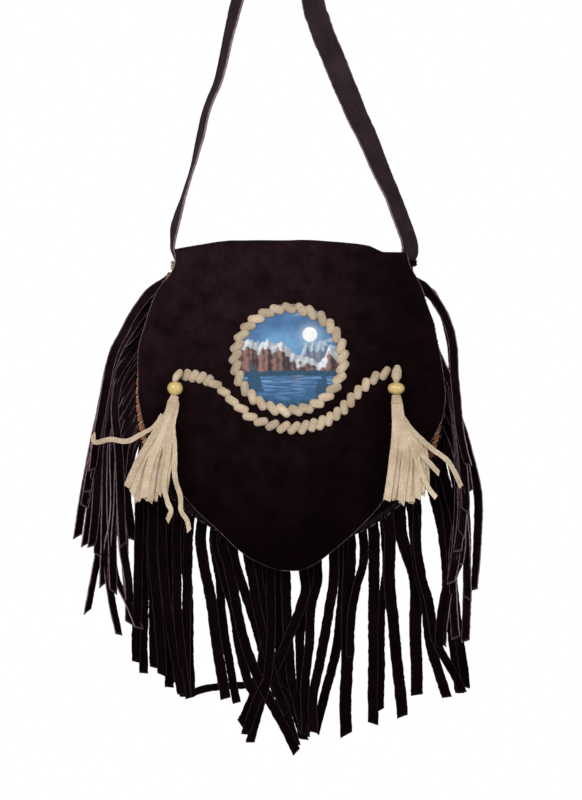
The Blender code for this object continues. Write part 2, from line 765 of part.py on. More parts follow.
def build():
    seam = seam_line()
    bag = empty("bag_frame", (STRAP_OFFSET, 0.0, -STRAP_DROP))
    hinge_at = (0.0, 0.0, -FOLD_RADIUS)
    hinge = empty("flap_hinge", hinge_at, bag)
    make_fringe(seam)
    make_back_panel()
    make_front_panel(seam)
    make_seam_lace(seam)
    make_strap()
    make_strap_tie("strap_tie_left", -1, -TIE_DROP, lace_tan)
    make_strap_tie("strap_tie_right", 1, -TIE_DROP, suede)
    for obj in list(parts.objects):
        if obj.type != "EMPTY":
            carry(obj, bag, (0.0, 0.0, 0.0))
    for obj in (make_flap(), make_medallion_disc(), make_medallion_lace(), make_swag_lace()):
        carry(obj, hinge, hinge_at)
    for side_name, x, wide, tall, fan, strays in TASSEL_SETS:
        bead_size = (BEAD_DIAMETER * wide, BEAD_LENGTH * tall)
        routes = {i: Line(through(route)) for i, route in strays.items()}
        make_tassel_set(side_name, x, bead_size, fan, routes, hinge, hinge_at)


clear_scene()
parts = new_collection("fringed_leather_bag")
suede = material("dark_brown_suede", SUEDE, 0.95)
lace_tan = material("tan_suede_lace", LACE_TAN, 0.9)
seam_tan = material("orange_tan_lace", SEAM_TAN, 0.85)
bead_yellow = material("yellow_wood_bead", BEAD_YELLOW, 0.35)
disc_blue = material("blue_painted_leather", DISC_BLUE, 0.6)
build()
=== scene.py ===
"""Fringed suede shoulder bag: fine leather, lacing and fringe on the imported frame, with its light.

Metres, +Z up, front towards -Y. Pieces are drawn in the bag's own frame, whose origin is the
middle of the flap's fold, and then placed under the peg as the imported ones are.
"""

import math
import random

import bmesh
import bpy
import numpy as np
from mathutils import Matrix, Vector, noise


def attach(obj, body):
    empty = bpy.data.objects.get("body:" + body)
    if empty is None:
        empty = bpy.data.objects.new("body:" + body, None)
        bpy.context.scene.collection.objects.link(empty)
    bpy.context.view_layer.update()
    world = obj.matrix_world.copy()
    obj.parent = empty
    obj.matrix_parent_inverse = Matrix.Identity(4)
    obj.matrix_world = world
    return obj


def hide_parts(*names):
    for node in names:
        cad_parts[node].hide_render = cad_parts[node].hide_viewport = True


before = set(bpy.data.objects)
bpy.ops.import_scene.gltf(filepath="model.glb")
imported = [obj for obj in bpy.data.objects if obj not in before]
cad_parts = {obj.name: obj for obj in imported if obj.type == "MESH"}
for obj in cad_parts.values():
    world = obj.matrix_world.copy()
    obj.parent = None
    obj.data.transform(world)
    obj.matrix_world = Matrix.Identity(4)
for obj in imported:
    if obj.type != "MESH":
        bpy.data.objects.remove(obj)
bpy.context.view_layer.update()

# Sizes shared with the part
BAG_PLACE = (0.0081, 0.0, -0.3222)
FLAP_WIDTH = 0.276
FLAP_LENGTH = 0.298
BODY_WIDTH = 0.281
BODY_LENGTH = 0.277
MOUTH_DROP = 0.026
MOUTH_BULGE = 0.0095
POUCH_BULGE = 0.0185
FLAP_BULGE = 0.0085
FOLD_RADIUS = 0.0082
LEATHER = 0.0015
CLEARANCE = 0.0003
STRAP_DROP = 0.3222
STRAP_WIDTH = 0.0205
STRAP_THICKNESS = 0.002
STRAP_TIED_WIDTH = 0.0095
STRAP_TIED_OFFSET = 0.0040
TIE_DIAMETER = 0.0030
FRINGE_THICKNESS = 0.0011
FRINGE_HEADER = 0.0095
STRIP_WIDTH = 0.0070
SIDE_SEAM_LENGTH = 0.155
SEAM_LACE_HEIGHT = 0.0019
MEDALLION_DROP = 0.1074
MEDALLION_THICKNESS = 0.0016
MEDALLION_STITCHES = 29
BEAD_LENGTH = 0.0125
BEAD_DIAMETER = 0.0140
BEAD_BORE = 0.0036
THONG_DIAMETER = 0.0028
BEAD_LIFT = 0.0092
BEAD_DROP = 0.1335
BEAD_LEFT_X = -0.1029
BEAD_RIGHT_X = 0.0950

BACK_Y = FOLD_RADIUS + LEATHER + CLEARANCE
HEADER_Y = BACK_Y - LEATHER / 2 - CLEARANCE - FRINGE_THICKNESS / 2
FRONT_Y = HEADER_Y - FRINGE_THICKNESS / 2 - CLEARANCE - LEATHER / 2
STRAP_Y = BACK_Y + LEATHER / 2 + SEAM_LACE_HEIGHT + 2 * CLEARANCE + STRAP_THICKNESS / 2

BODY_EDGE = [
    (0.750, 0.02), (0.795, 0.11), (0.920, 0.22), (0.975, 0.36), (1.000, 0.49),
    (0.985, 0.60), (0.925, 0.71), (0.790, 0.82), (0.540, 0.925), (0.260, 0.985), (0.000, 1.00),
]
POUCH_FOCUS = 0.55
# How far the pouch's right side draws in behind the flap, between which drops, and over how much
DRAWN_IN, DRAWN_FROM, DRAWN_TO, DRAWN_FADE = 0.0055, 0.030, 0.098, 0.022
# Width of the narrow column along a cut edge
CUT_COLUMN = 0.00045

# The photograph's scale and the place in it of the fold's middle
PIXEL = 0.0009
FOLD_COLUMN, FOLD_ROW = 290, 240

rng = random.Random(7)


def seen(column, row):
    """(x, z) in the bag's frame of a place seen in the photograph."""
    return (column - FOLD_COLUMN) * PIXEL, (FOLD_ROW - row) * PIXEL


def smooth_step(value):
    value = min(max(value, 0.0), 1.0)
    return value * value * (3 - 2 * value)


def wobble(x, y, z, scale):
    """Smooth noise between about -1 and 1, whose lumps are about one scale wide."""
    return noise.noise(Vector((x, y, z)) / scale)


# Curves

def through(points, steps=12):
    """A smooth line through the points, as a Catmull-Rom curve."""
    points = [np.array(point, float) for point in points]
    padded = [2 * points[0] - points[1], *points, 2 * points[-1] - points[-2]]
    line = []
    for a, b, c, d in zip(padded, padded[1:], padded[2:], padded[3:]):
        for step in range(steps):
            t = step / steps
            bend = 2 * a - 5 * b + 4 * c - d
            twist = 3 * b - a - 3 * c + d
            line.append(b + 0.5 * t * ((c - a) + t * bend + t * t * twist))
    line.append(points[-1])
    return np.array(line)


def along_curve(values, steps):
    """Values at a curve's own points, for each point that through() makes of it."""
    places = np.linspace(0, len(values) - 1, (len(values) - 1) * steps + 1)
    return np.interp(places, range(len(values)), values)


class Line:
    """A line of points that can be read at any distance along it."""

    def __init__(self, points):
        self.points = np.array(points, float)
        steps = np.linalg.norm(np.diff(self.points, axis=0), axis=1)
        self.distances = np.concatenate([[0.0], np.cumsum(steps)])
        self.length = self.distances[-1]

    def at(self, distance):
        axes = range(self.points.shape[1])
        return np.array([np.interp(distance, self.distances, self.points[:, i]) for i in axes])

    def direction(self, distance, reach=0.002):
        ahead = self.at(min(distance + reach, self.length))
        step = ahead - self.at(max(distance - reach, 0.0))
        return step / np.linalg.norm(step)


def body_half():
    return through([(x * BODY_WIDTH / 2, -z * BODY_LENGTH) for x, z in BODY_EDGE])


def drawn_in(z):
    """How far the pouch's right side has drawn in behind the flap."""
    begun = smooth_step((-z - DRAWN_FROM) / DRAWN_FADE)
    return DRAWN_IN * begun * (1 - smooth_step((-z - DRAWN_TO) / DRAWN_FADE))


def seam_line():
    """The pouch's U seam as (x, z), from the left end of the mouth round to the right end."""
    half = body_half()
    half = half[half[:, 1] <= -MOUTH_DROP]
    right = np.array([(x - drawn_in(z), z) for x, z in half[::-1][1:]])
    return Line(np.concatenate([half * (-1, 1), right]))


def outward(direction):
    """The outward side of a seam that runs from the left, under the bag, to the right."""
    return np.array([direction[1], -direction[0]])


# Surfaces

def flap_depth(x, z):
    """y of the flap's mid surface at a place on its hanging part."""
    down = min(max((-z - FOLD_RADIUS) / (FLAP_LENGTH - FOLD_RADIUS), 0.0), 1.0)
    across = 2 * x / FLAP_WIDTH
    return -FOLD_RADIUS - FLAP_BULGE * math.sin(math.pi * down ** 0.85) * (1 - 0.45 * across * across)


def on_flap(x, z, lift):
    """A point that stands off the flap's front face by the lift."""
    return np.array([x, flap_depth(x, z) - LEATHER / 2 - lift, z])


def pouch_depth(z, share, rim):
    """y of the front panel, where share runs from 0 at the seam to 1 at the middle."""
    inside = max(share - rim, 0.0) / (1 - rim)
    dome = math.sin(math.pi / 2 * smooth_step(inside) ** 0.8)
    lower = smooth_step((-z - MOUTH_DROP) / (0.45 * BODY_LENGTH))
    bulge = MOUTH_BULGE + (POUCH_BULGE - MOUTH_BULGE) * lower
    return FRONT_Y - bulge * dome


# Meshes. Each point carries "raw", how much cut edge it shows, and "tone", which darkens its colour: partly
# its piece's own tone, and on some pieces painted shade.

def grid_faces(rows, columns, start=0):
    """Faces between neighbours of a grid of points."""
    corners = [start + r * columns + c for r in range(rows - 1) for c in range(columns - 1)]
    return [(i, i + 1, i + columns + 1, i + columns) for i in corners]


def grid_border(rows, columns):
    """(row, column) of each point round a grid, in order."""
    border = [(0, c) for c in range(columns)] + [(r, columns - 1) for r in range(1, rows)]
    border += [(rows - 1, c) for c in range(columns - 2, -1, -1)]
    return border + [(r, 0) for r in range(rows - 2, 0, -1)]


def ring_faces(rings, sides, closed=False):
    """Faces between rings of points; closed joins the last ring to the first."""
    faces = []
    for r in range(rings if closed else rings - 1):
        below = (r + 1) % rings
        for k in range(sides):
            n = (k + 1) % sides
            faces.append((r * sides + k, r * sides + n, below * sides + n, below * sides + k))
    return faces


# Bulge of a cut edge against the leather's thickness, and the share of its raw colour on the faces beside it
EDGE_BULGE = 0.18
FACE_RAW = 0.7


class Skin:
    """Points and faces collected for one piece."""

    def __init__(self):
        self.points, self.faces, self.raw, self.tone, self.paint = [], [], [], [], []

    def add(self, points, faces, raw, tone, paint=None):
        start = len(self.points)
        self.points += [tuple(point) for point in points]
        self.faces += [tuple(start + i for i in face) for face in faces]
        self.raw += list(raw)
        self.tone += list(np.broadcast_to(tone, len(points)))
        self.paint += list(paint) if paint is not None else []

    def add_sheet(self, grid, thickness, tone=0.5, rim=1.0, paint=None, ends=1.0):
        """A sheet of even thickness round a grid of points, with a slightly rounded cut edge."""
        grid = np.array(grid, float)
        rows, columns = grid.shape[:2]
        normal = np.cross(np.gradient(grid, axis=0), np.gradient(grid, axis=1))
        normal /= np.maximum(np.linalg.norm(normal, axis=2, keepdims=True), 1e-12)
        front = (grid + normal * thickness / 2).reshape(-1, 3)
        back = (grid - normal * thickness / 2).reshape(-1, 3)
        border = grid_border(rows, columns)
        edge = []
        for r, c in border:
            inner = grid[min(max(r, 1), rows - 2), min(max(c, 1), columns - 2)]
            out = grid[r, c] - inner
            edge.append(grid[r, c] + out / max(np.linalg.norm(out), 1e-9) * thickness * EDGE_BULGE)
        count = rows * columns
        faces = []
        for corners in grid_faces(rows, columns):
            faces += [corners, tuple(count + k for k in corners[::-1])]
        for k in range(len(border)):
            n = (k + 1) % len(border)
            a, b = (border[j][0] * columns + border[j][1] for j in (k, n))
            faces.append((a, 2 * count + k, 2 * count + n, b))
            faces.append((2 * count + k, count + a, count + b, 2 * count + n))
        on_border = np.zeros((rows, columns))
        on_border[:, 0] = on_border[:, -1] = FACE_RAW * rim
        on_border[0, :] = on_border[-1, :] = FACE_RAW * rim * ends
        raw = list(on_border.reshape(-1)) * 2
        raw += [rim * (ends if r in (0, rows - 1) else 1.0) for r, _ in border]
        tones = np.broadcast_to(tone, (rows, columns))
        tones = list(tones.reshape(-1)) * 2 + [tones[r, c] for r, c in border]
        colours = None
        if paint is not None:
            shown = np.array(paint, float).reshape(-1, 3)
            colours = list(shown) + list(shown) + [shown[0]] * len(border)
        self.add(list(front) + list(back) + edge, faces, raw, tones, colours)

    def add_tube(self, points, radii, sides=12, tone=0.5, flat=1.0):
        """A closed round or flattened cord along the points."""
        points = np.array(points, float)
        made = []
        along = np.gradient(points, axis=0)
        along /= np.linalg.norm(along, axis=1, keepdims=True)
        across = np.cross(along[0], (0.0, 1.0, 0.0))
        if np.linalg.norm(across) < 0.1:
            across = np.array([1.0, 0.0, 0.0])
        for point, direction, radius in zip(points, along, radii):
            across = across - direction * np.dot(across, direction)
            across = across / np.linalg.norm(across)
            other = np.cross(direction, across)
            for k in range(sides):
                turn = 2 * math.pi * k / sides
                made.append(point + radius * (across * math.cos(turn) + other * math.sin(turn) * flat))
        faces = ring_faces(len(points), sides)
        faces.append(tuple(range(sides))[::-1])
        faces.append(tuple((len(points) - 1) * sides + k for k in range(sides)))
        self.add(made, faces, [0.0] * len(made), tone)

    def add_pad(self, place, length, width, height, tone, fullness=0.5):
        """A stitch: a cushioned strap of lace, whose ends dive into the leather. place(a, b, lift)."""
        rows, columns = 15, 9
        made = []
        for r in range(rows):
            a = -math.cos(math.pi * r / (rows - 1))
            half = max((1 - abs(a) ** 5.0), 0.0) ** fullness
            for c in range(columns):
                b = -math.cos(math.pi * c / (columns - 1))
                lift = max(1 - abs(b) ** 2.6, 0.0) ** 0.5 * max(1 - abs(a) ** 4, 0.0) ** 0.5
                made.append(place(a * length / 2, b * width / 2 * max(half, 0.05), height * lift))
        faces = grid_faces(rows, columns)
        border = [r * columns + c for r, c in grid_border(rows, columns)]
        start = len(made)
        made += [place(0.0, 0.0, 0.0)]
        faces += [(border[(k + 1) % len(border)], border[k], start) for k in range(len(border))]
        self.add(made, faces, [0.0] * len(made), tone)

    def build(self, name, paint, sharp=50):
        mesh = bpy.data.meshes.new(name)
        mesh.from_pydata(self.points, [], self.faces)
        for label, values in (("raw", self.raw), ("tone", self.tone)):
            mesh.attributes.new(label, "FLOAT", "POINT").data.foreach_set("value", values)
        if self.paint:
            colours = np.ones((len(self.paint), 4), np.float32)
            colours[:, :3] = self.paint
            layer = mesh.attributes.new("painting", "FLOAT_COLOR", "POINT")
            layer.data.foreach_set("color", colours.ravel())
        cage = bmesh.new()
        cage.from_mesh(mesh)
        bmesh.ops.remove_doubles(cage, verts=cage.verts, dist=1e-6)
        bmesh.ops.recalc_face_normals(cage, faces=cage.faces)
        cage.to_mesh(mesh)
        cage.free()
        mesh.shade_smooth()
        mesh.set_sharp_from_angle(angle=math.radians(sharp))
        mesh.materials.append(paint)
        obj = bpy.data.objects.new(name, mesh)
        bpy.context.scene.collection.objects.link(obj)
        obj.location = BAG_PLACE
        return obj


def dress(skin, name, body, slot, node=None, paint=None):
    """Build a piece, and say what it rides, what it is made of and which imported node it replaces."""
    obj = skin.build(name, paint or PAINTS[slot])
    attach(obj, body)
    if node:
        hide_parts(node)


# Materials

def new_material(name):
    made = bpy.data.materials.new(name)
    made.use_nodes = True
    return made, made.node_tree.nodes, made.node_tree.links, made.node_tree.nodes["Principled BSDF"]


def noise_node(nodes, links, scale, detail=4.0, roughness=0.6, stretch=None):
    """Noise over the piece's own coordinates, in metres."""
    place = nodes.new("ShaderNodeTexCoord").outputs["Object"]
    if stretch:
        mapping = nodes.new("ShaderNodeMapping")
        mapping.inputs["Scale"].default_value = stretch
        links.new(place, mapping.inputs["Vector"])
        place = mapping.outputs["Vector"]
    made = nodes.new("ShaderNodeTexNoise")
    made.inputs["Scale"].default_value = scale
    made.inputs["Detail"].default_value = detail
    made.inputs["Roughness"].default_value = roughness
    links.new(place, made.inputs["Vector"])
    return made.outputs["Fac"]


def ramp_node(nodes, links, value, low, high, low_colour, high_colour):
    made = nodes.new("ShaderNodeValToRGB")
    made.color_ramp.elements[0].position = low
    made.color_ramp.elements[1].position = high
    made.color_ramp.elements[0].color = (*low_colour, 1.0)
    made.color_ramp.elements[1].color = (*high_colour, 1.0)
    links.new(value, made.inputs["Fac"])
    return made.outputs["Color"]


def mix_node(nodes, links, factor, one, two, blend="MIX"):
    made = nodes.new("ShaderNodeMix")
    made.data_type = "RGBA"
    made.blend_type = blend
    for value, label in ((factor, "Factor"), (one, "A"), (two, "B")):
        socket = made.inputs[label]
        if isinstance(value, (int, float)):
            socket.default_value = value
        elif isinstance(value, tuple):
            socket.default_value = (*value, 1.0)
        else:
            links.new(value, socket)
    return made.outputs["Result"]


def attribute_node(nodes, name, output="Fac"):
    made = nodes.new("ShaderNodeAttribute")
    made.attribute_name = name
    return made.outputs[output]


def math_node(nodes, links, operation, one, two):
    made = nodes.new("ShaderNodeMath")
    made.operation = operation
    made.use_clamp = True
    for value, socket in ((one, made.inputs[0]), (two, made.inputs[1])):
        if isinstance(value, (int, float)):
            socket.default_value = value
        else:
            links.new(value, socket)
    return made.outputs["Value"]


def bump_node(nodes, links, value, strength, distance, before=None):
    made = nodes.new("ShaderNodeBump")
    made.inputs["Strength"].default_value = strength
    made.inputs["Distance"].default_value = distance
    links.new(value, made.inputs["Height"])
    if before is not None:
        links.new(before, made.inputs["Normal"])
    return made.outputs["Normal"]


# Noise scales in leather: patches, nap, cut fibres and lumps
MOTTLE, GRAIN, FIBRES, LUMPS = 55.0, 700.0, 260.0, 90.0
NAP_DEPTH, LUMP_DEPTH = 0.0004, 0.0012


def leather(name, dark, light, raw_colour, roughness, sheen, nap, shaded, specular):
    """Napped leather: mottled colour, a pale cut edge, fine nap and a soft sheen."""
    made, nodes, links, shader = new_material(name)
    mottle = noise_node(nodes, links, MOTTLE, 6.0, 0.65)
    colour = ramp_node(nodes, links, mottle, 0.36, 0.68, dark, light)
    grain = noise_node(nodes, links, GRAIN, 3.0, 0.7)
    shade = ramp_node(nodes, links, grain, 0.3, 0.75, (0.62, 0.62, 0.62), (1.0, 1.0, 1.0))
    colour = mix_node(nodes, links, 1.0, colour, shade, "MULTIPLY")
    tone = attribute_node(nodes, "tone")
    # The tone attribute darkens the colour towards the shaded one: random tone, and painted shade where a
    # piece gives it
    tone_factor = ramp_node(nodes, links, tone, 0.0, 1.0, shaded, (1.0, 0.98, 0.96))
    colour = mix_node(nodes, links, 1.0, colour, tone_factor, "MULTIPLY")
    fibres = ramp_node(nodes, links, noise_node(nodes, links, FIBRES, 3.0), 0.30, 0.55,
                       (0.35, 0.35, 0.35), (1.0, 1.0, 1.0))
    cut = math_node(nodes, links, "MULTIPLY", attribute_node(nodes, "raw"), fibres)
    colour = mix_node(nodes, links, cut, colour, raw_colour)
    links.new(colour, shader.inputs["Base Color"])
    shader.inputs["Roughness"].default_value = roughness
    shader.inputs["Specular IOR Level"].default_value = specular
    shader.inputs["Sheen Weight"].default_value = sheen
    shader.inputs["Sheen Roughness"].default_value = 0.45
    shader.inputs["Sheen Tint"].default_value = (*light, 1.0)
    rough = bump_node(nodes, links, noise_node(nodes, links, LUMPS, 5.0), 0.35, LUMP_DEPTH)
    links.new(bump_node(nodes, links, grain, nap, NAP_DEPTH, rough), shader.inputs["Normal"])
    return made


def painted_leather(name):
    """The disc's own painting, brushed in matt colour over a fine leather grain."""
    made, nodes, links, shader = new_material(name)
    brushed = noise_node(nodes, links, 220.0, 5.0, 0.7)
    shade = ramp_node(nodes, links, brushed, 0.30, 0.72, (0.70, 0.72, 0.76), (1.0, 1.0, 1.0))
    colour = mix_node(nodes, links, 1.0, attribute_node(nodes, "painting", "Color"), shade, "MULTIPLY")
    cut = attribute_node(nodes, "raw")
    links.new(mix_node(nodes, links, cut, colour, (0.40, 0.30, 0.21)), shader.inputs["Base Color"])
    shader.inputs["Roughness"].default_value = 0.62
    shader.inputs["Specular IOR Level"].default_value = 0.3
    links.new(bump_node(nodes, links, brushed, 0.25, 0.0004), shader.inputs["Normal"])
    return made


def glazed_wood(name):
    """A turned bead: warm yellow lacquer over faint rings of grain."""
    made, nodes, links, shader = new_material(name)
    rings = noise_node(nodes, links, 420.0, 3.0, 0.5, (1.0, 1.0, 6.0))
    colour = ramp_node(nodes, links, rings, 0.30, 0.72, (0.50, 0.33, 0.085), (0.66, 0.50, 0.20))
    links.new(colour, shader.inputs["Base Color"])
    shader.inputs["Roughness"].default_value = 0.26
    shader.inputs["Coat Weight"].default_value = 0.5
    shader.inputs["Coat Roughness"].default_value = 0.12
    links.new(bump_node(nodes, links, rings, 0.08, 0.0003), shader.inputs["Normal"])
    return made


SUEDE_DARK = (0.0105, 0.0046, 0.0060)
SUEDE_LIGHT = (0.0260, 0.0122, 0.0152)
SUEDE_RAW = (0.270, 0.190, 0.220)
SUEDE_SHADED = (0.13, 0.06, 0.07)
STRAP_DARK = (0.0250, 0.0160, 0.0190)
STRAP_LIGHT = (0.0440, 0.0280, 0.0335)
STRAP_SHADED = (0.70, 0.70, 0.72)
# At tone 0 the laces go almost black, so that painted shade can darken them under the flap's point
TAN_DARK = (0.590, 0.455, 0.310)
TAN_LIGHT = (0.800, 0.660, 0.490)
TAN_RAW = (0.740, 0.610, 0.480)
TAN_SHADED = (0.015, 0.012, 0.018)
ORANGE_DARK = (0.360, 0.130, 0.050)
ORANGE_LIGHT = (0.560, 0.240, 0.105)
ORANGE_RAW = (0.600, 0.360, 0.230)
ORANGE_SHADED = (0.02, 0.02, 0.04)

# name, dark, light, raw, roughness, sheen, nap, shade at tone 0, specular
suede = leather("dark_brown_suede", SUEDE_DARK, SUEDE_LIGHT, SUEDE_RAW,
                0.95, 0.03, 0.50, SUEDE_SHADED, 0.02)
strap_suede = leather("dark_brown_suede_strap", STRAP_DARK, STRAP_LIGHT, SUEDE_RAW,
                      0.92, 0.10, 0.45, STRAP_SHADED, 0.05)
tan = leather("tan_suede_lace", TAN_DARK, TAN_LIGHT, TAN_RAW,
              0.88, 0.12, 0.35, TAN_SHADED, 0.12)
orange = leather("orange_tan_lace", ORANGE_DARK, ORANGE_LIGHT, ORANGE_RAW,
                 0.80, 0.08, 0.30, ORANGE_SHADED, 0.12)
PAINTS = {
    "dark_brown_suede": suede, "tan_suede_lace": tan, "orange_tan_lace": orange,
    "blue_painted_leather": painted_leather("blue_painted_leather"),
    "yellow_wood_bead": glazed_wood("yellow_wood_bead"),
}


# Flap

LEFT_EDGE = [
    (174, 249.5), (175.5, 258), (174.8, 265.6), (171.3, 272.4), (168.3, 277), (162.9, 283.1),
    (158.3, 289.3), (155.2, 295.4), (148.8, 312), (145, 325.4), (141.4, 336.8), (138.8, 347.4),
    (137.9, 360), (138.3, 380), (138.8, 400), (146, 430), (162, 461), (180, 490), (197, 511),
    (216, 528), (242, 553), (268, 567), (284, 571.5),
]
RIGHT_EDGE = [
    (407, 252), (409.5, 263.8), (413, 270.8), (418.3, 280.5), (422.3, 289.3), (425.4, 299.9),
    (429.8, 312.2), (433.7, 322.7), (437.3, 341.2), (440.8, 358.8), (444.3, 383.5), (445.2, 400),
    (442.3, 418.6), (438.8, 425.7), (429.4, 443.6), (406, 474), (386, 497), (376, 510), (362, 525),
    (342.4, 542.8), (317, 563), (298, 571.5),
]
# The fold's top, seen from the front, and how much of its sinking the tail behind it keeps
FOLD_TOP = [
    (174, 249.5), (180, 248), (195, 245), (206, 243.4), (218, 241.5), (231, 240.1), (250, 240), (300, 240),
    (340, 242), (358, 243.8), (370, 245.8), (376, 248.6), (383, 251.8), (407, 252),
]
TAIL_SINK = 0.32
TAIL_ANGLE = math.radians(-28)
FLAP_COLUMNS, FLAP_ROWS, FOLD_ROWS = 88, 150, 22


def fold_sink(x, z):
    """How far the fold has sunk at x; it fades out down the flap."""
    places = [seen(*place) for place in FOLD_TOP]
    sunk = np.interp(x, [place[0] for place in places], [-place[1] for place in places])
    return float(sunk) * (1 - min(-z / FLAP_LENGTH, 1.0)) ** 2


def flap_painted_shade(x, z):
    """Painted shade: the flap darkens downwards and towards its right edge, where less light falls, with a
    little random tone.
    """
    lit = min(max(1.05 + 3.7 * z, 0.0), 1.0) * (1 - 0.75 * smooth_step(x / 0.11))
    return min(max(lit + 0.06 * wobble(x, 0.4, z, 0.05), 0.0), 1.0)


def edge_reader(points):
    """x of a flap's edge against z, from the fold down."""
    line = through([seen(*point) for point in points])
    return lambda z: float(np.interp(-z, -line[:, 1], line[:, 0]))


def edge_shares(width, columns, rim):
    """Places across a sheet from -1 to 1, with a narrow column along each cut edge."""
    inner = 1 - 2 * rim / width
    return [-1.0, *np.linspace(-inner, inner, columns), 1.0]


def make_flap():
    left_at, right_at = edge_reader(LEFT_EDGE), edge_reader(RIGHT_EDGE)
    rows, tones = [], []
    drops = [FOLD_RADIUS + (FLAP_LENGTH - FOLD_RADIUS) * k / FLAP_ROWS for k in range(1, FLAP_ROWS)]
    drops += [FLAP_LENGTH - 0.0006, FLAP_LENGTH]
    levels = [(TAIL_ANGLE + (math.pi - TAIL_ANGLE) * k / FOLD_ROWS, 0.0) for k in range(FOLD_ROWS + 1)]
    levels += [(math.pi, -drop) for drop in drops]
    for turn, drop in levels:
        z = drop or FOLD_RADIUS * (math.sin(turn) - 1)
        over = smooth_step((turn - TAIL_ANGLE) / math.radians(90))
        sink_share = 1.0 if drop else TAIL_SINK + (1 - TAIL_SINK) * over
        left = left_at(z - fold_sink(-1.0, z) * sink_share)
        right = right_at(z - fold_sink(1.0, z) * sink_share)
        row, shades = [], []
        middle, half = (left + right) / 2, (right - left) / 2
        for share in edge_shares(right - left, FLAP_COLUMNS, CUT_COLUMN):
            x = middle + half * share
            if abs(share) > 0.99:
                rag = 0.00045 * wobble(share, z, 0.3, 0.004) + 0.0004 * wobble(share, z, 0.7, 0.0011)
                x += math.copysign(rag, share)
            low = z - fold_sink(x, z) * sink_share
            y = flap_depth(x, low) if drop else FOLD_RADIUS * math.cos(turn)
            hang = smooth_step(-z / 0.03) * smooth_step((z + FLAP_LENGTH) / 0.02)
            y += hang * (0.0007 * wobble(x, 0.1, z, 0.06) + 0.00035 * wobble(x, 0.5, z, 0.022))
            low += 0.0009 * wobble(x, 0.9, 0.0, 0.035) * (1 - smooth_step(-z / 0.05))
            row.append((x, y, low))
            # Each point's tone paints shade on the flap, darker downwards and to the right
            shades.append(flap_painted_shade(x, low))
        rows.append(row)
        tones.append(shades)
    skin = Skin()
    skin.add_sheet(rows, LEATHER, tones)
    dress(skin, "flap_leather", "flap", "dark_brown_suede", "flap")


# Panels

# Share of the front panel that lies flat in the seam, and the trim of the back panel's top corners
PANEL_COLUMNS, PANEL_RIM = 150, 0.13
CORNER_TRIM, CORNER_SAG = 0.0055, 0.0060
BACK_ROWS, BACK_COLUMNS = 110, 60

def make_front_panel(seam):
    columns, rim = PANEL_COLUMNS, PANEL_RIM
    shares = [0.0, 0.004, *np.linspace(0.03, rim, 4), *np.linspace(rim, 1.0, 22)[1:]]
    focus = -POUCH_FOCUS * BODY_LENGTH
    rows = []
    for share in shares:
        row = []
        for i in range(columns + 1):
            x, z = seam.at(seam.length * i / columns)
            px, pz = x * (1 - share), z + (max(z, focus) - z) * share
            y = pouch_depth(pz, share, rim)
            y += smooth_step(share / 0.3) * (0.0006 + 0.0006 * wobble(px, 0.3, pz, 0.045))
            row.append((px, y, pz))
        rows.append(row)
    skin = Skin()
    # Tone 0.25 paints shade on the front panel, which lies under the flap
    skin.add_sheet(rows, LEATHER, 0.25, ends=0.0)
    dress(skin, "front_panel_leather", "bag", "dark_brown_suede", "front_panel")


def make_back_panel():
    half = body_half()
    top = -FOLD_RADIUS + 0.002
    point = BODY_LENGTH - np.geomspace(0.003, 0.0002, 8)
    drops = np.concatenate([np.linspace(-top, BODY_LENGTH - 0.004, BACK_ROWS), point])
    rows = []
    for drop in drops:
        reach = float(np.interp(drop, -half[:, 1], half[:, 0]))
        reach -= CORNER_TRIM * smooth_step((drop + top) / 0.012) * (1 - smooth_step((drop - 0.0255) / 0.008))
        sag = CORNER_SAG * (1 - smooth_step((drop + top) / 0.05))
        row = []
        for share in edge_shares(2 * reach, BACK_COLUMNS, min(CUT_COLUMN, reach * 0.2)):
            rag = 0.0003 * wobble(share, drop, 0.3, 0.003) if abs(share) > 0.99 else 0.0
            x = (reach - drawn_in(-drop) / 2) * share - drawn_in(-drop) / 2 + math.copysign(rag, share)
            row.append((x, BACK_Y + 0.00022 * wobble(x, 0.2, drop, 0.03), -drop - sag * share * share))
        rows.append(row)
    skin = Skin()
    skin.add_sheet(rows, LEATHER, 0.4)
    dress(skin, "back_panel_leather", "bag", "dark_brown_suede", "back_panel")


# Fringe. Each strip's route is where it hangs in the photograph, from the seam down.

LEFT_ROUTES = [
    (0.006, [(150, 291), (133, 315), (124, 332), (114, 352), (106, 385), (100, 420), (95, 450),
             (92, 470)]),
    (0.016, [(146, 306), (130, 330), (117, 352), (107, 385), (99, 425), (91, 465), (87, 492)]),
    (0.026, [(134, 333), (119, 350), (108, 385), (100, 425), (91, 470), (84, 507)]),
    (0.037, [(126, 340), (112, 357), (103, 392), (95, 430), (86, 480), (77, 537)]),
    (0.047, [(127, 348), (113, 370), (104, 402), (97, 440), (92, 490), (84, 546)]),
    (0.057, [(125, 360), (112, 384), (104, 412), (98, 445), (96, 500), (91, 547)]),
    (0.062, [(126, 364), (117, 386), (114, 412), (117, 445), (120, 500), (122, 546)]),
    (0.070, [(124, 371), (113, 393), (107, 424), (102, 450), (99, 500), (97, 556)]),
    (0.080, [(122, 383), (113, 404), (108, 430), (105, 470), (104, 520), (102, 586)]),
    (0.090, [(121, 396), (113, 418), (110, 450), (109, 500), (111, 545), (113, 593)]),
    (0.099, [(122, 407), (115, 428), (112, 455), (111, 515), (105, 556), (110, 596), (118, 636)]),
    (0.109, [(121, 422), (112, 452), (105, 500), (98, 548), (86, 613)]),
    (0.119, [(124, 428), (118, 450), (116, 500), (112, 548), (116, 580), (127, 604), (138, 630)]),
    (0.129, [(127, 436), (122, 455), (119, 500), (122, 546), (127, 585), (128, 625)]),
    (0.139, [(130, 446), (126, 468), (126, 500), (131, 541)]),
    (0.149, [(131, 452), (127, 480), (124, 520), (124, 560), (127, 600)]),
]
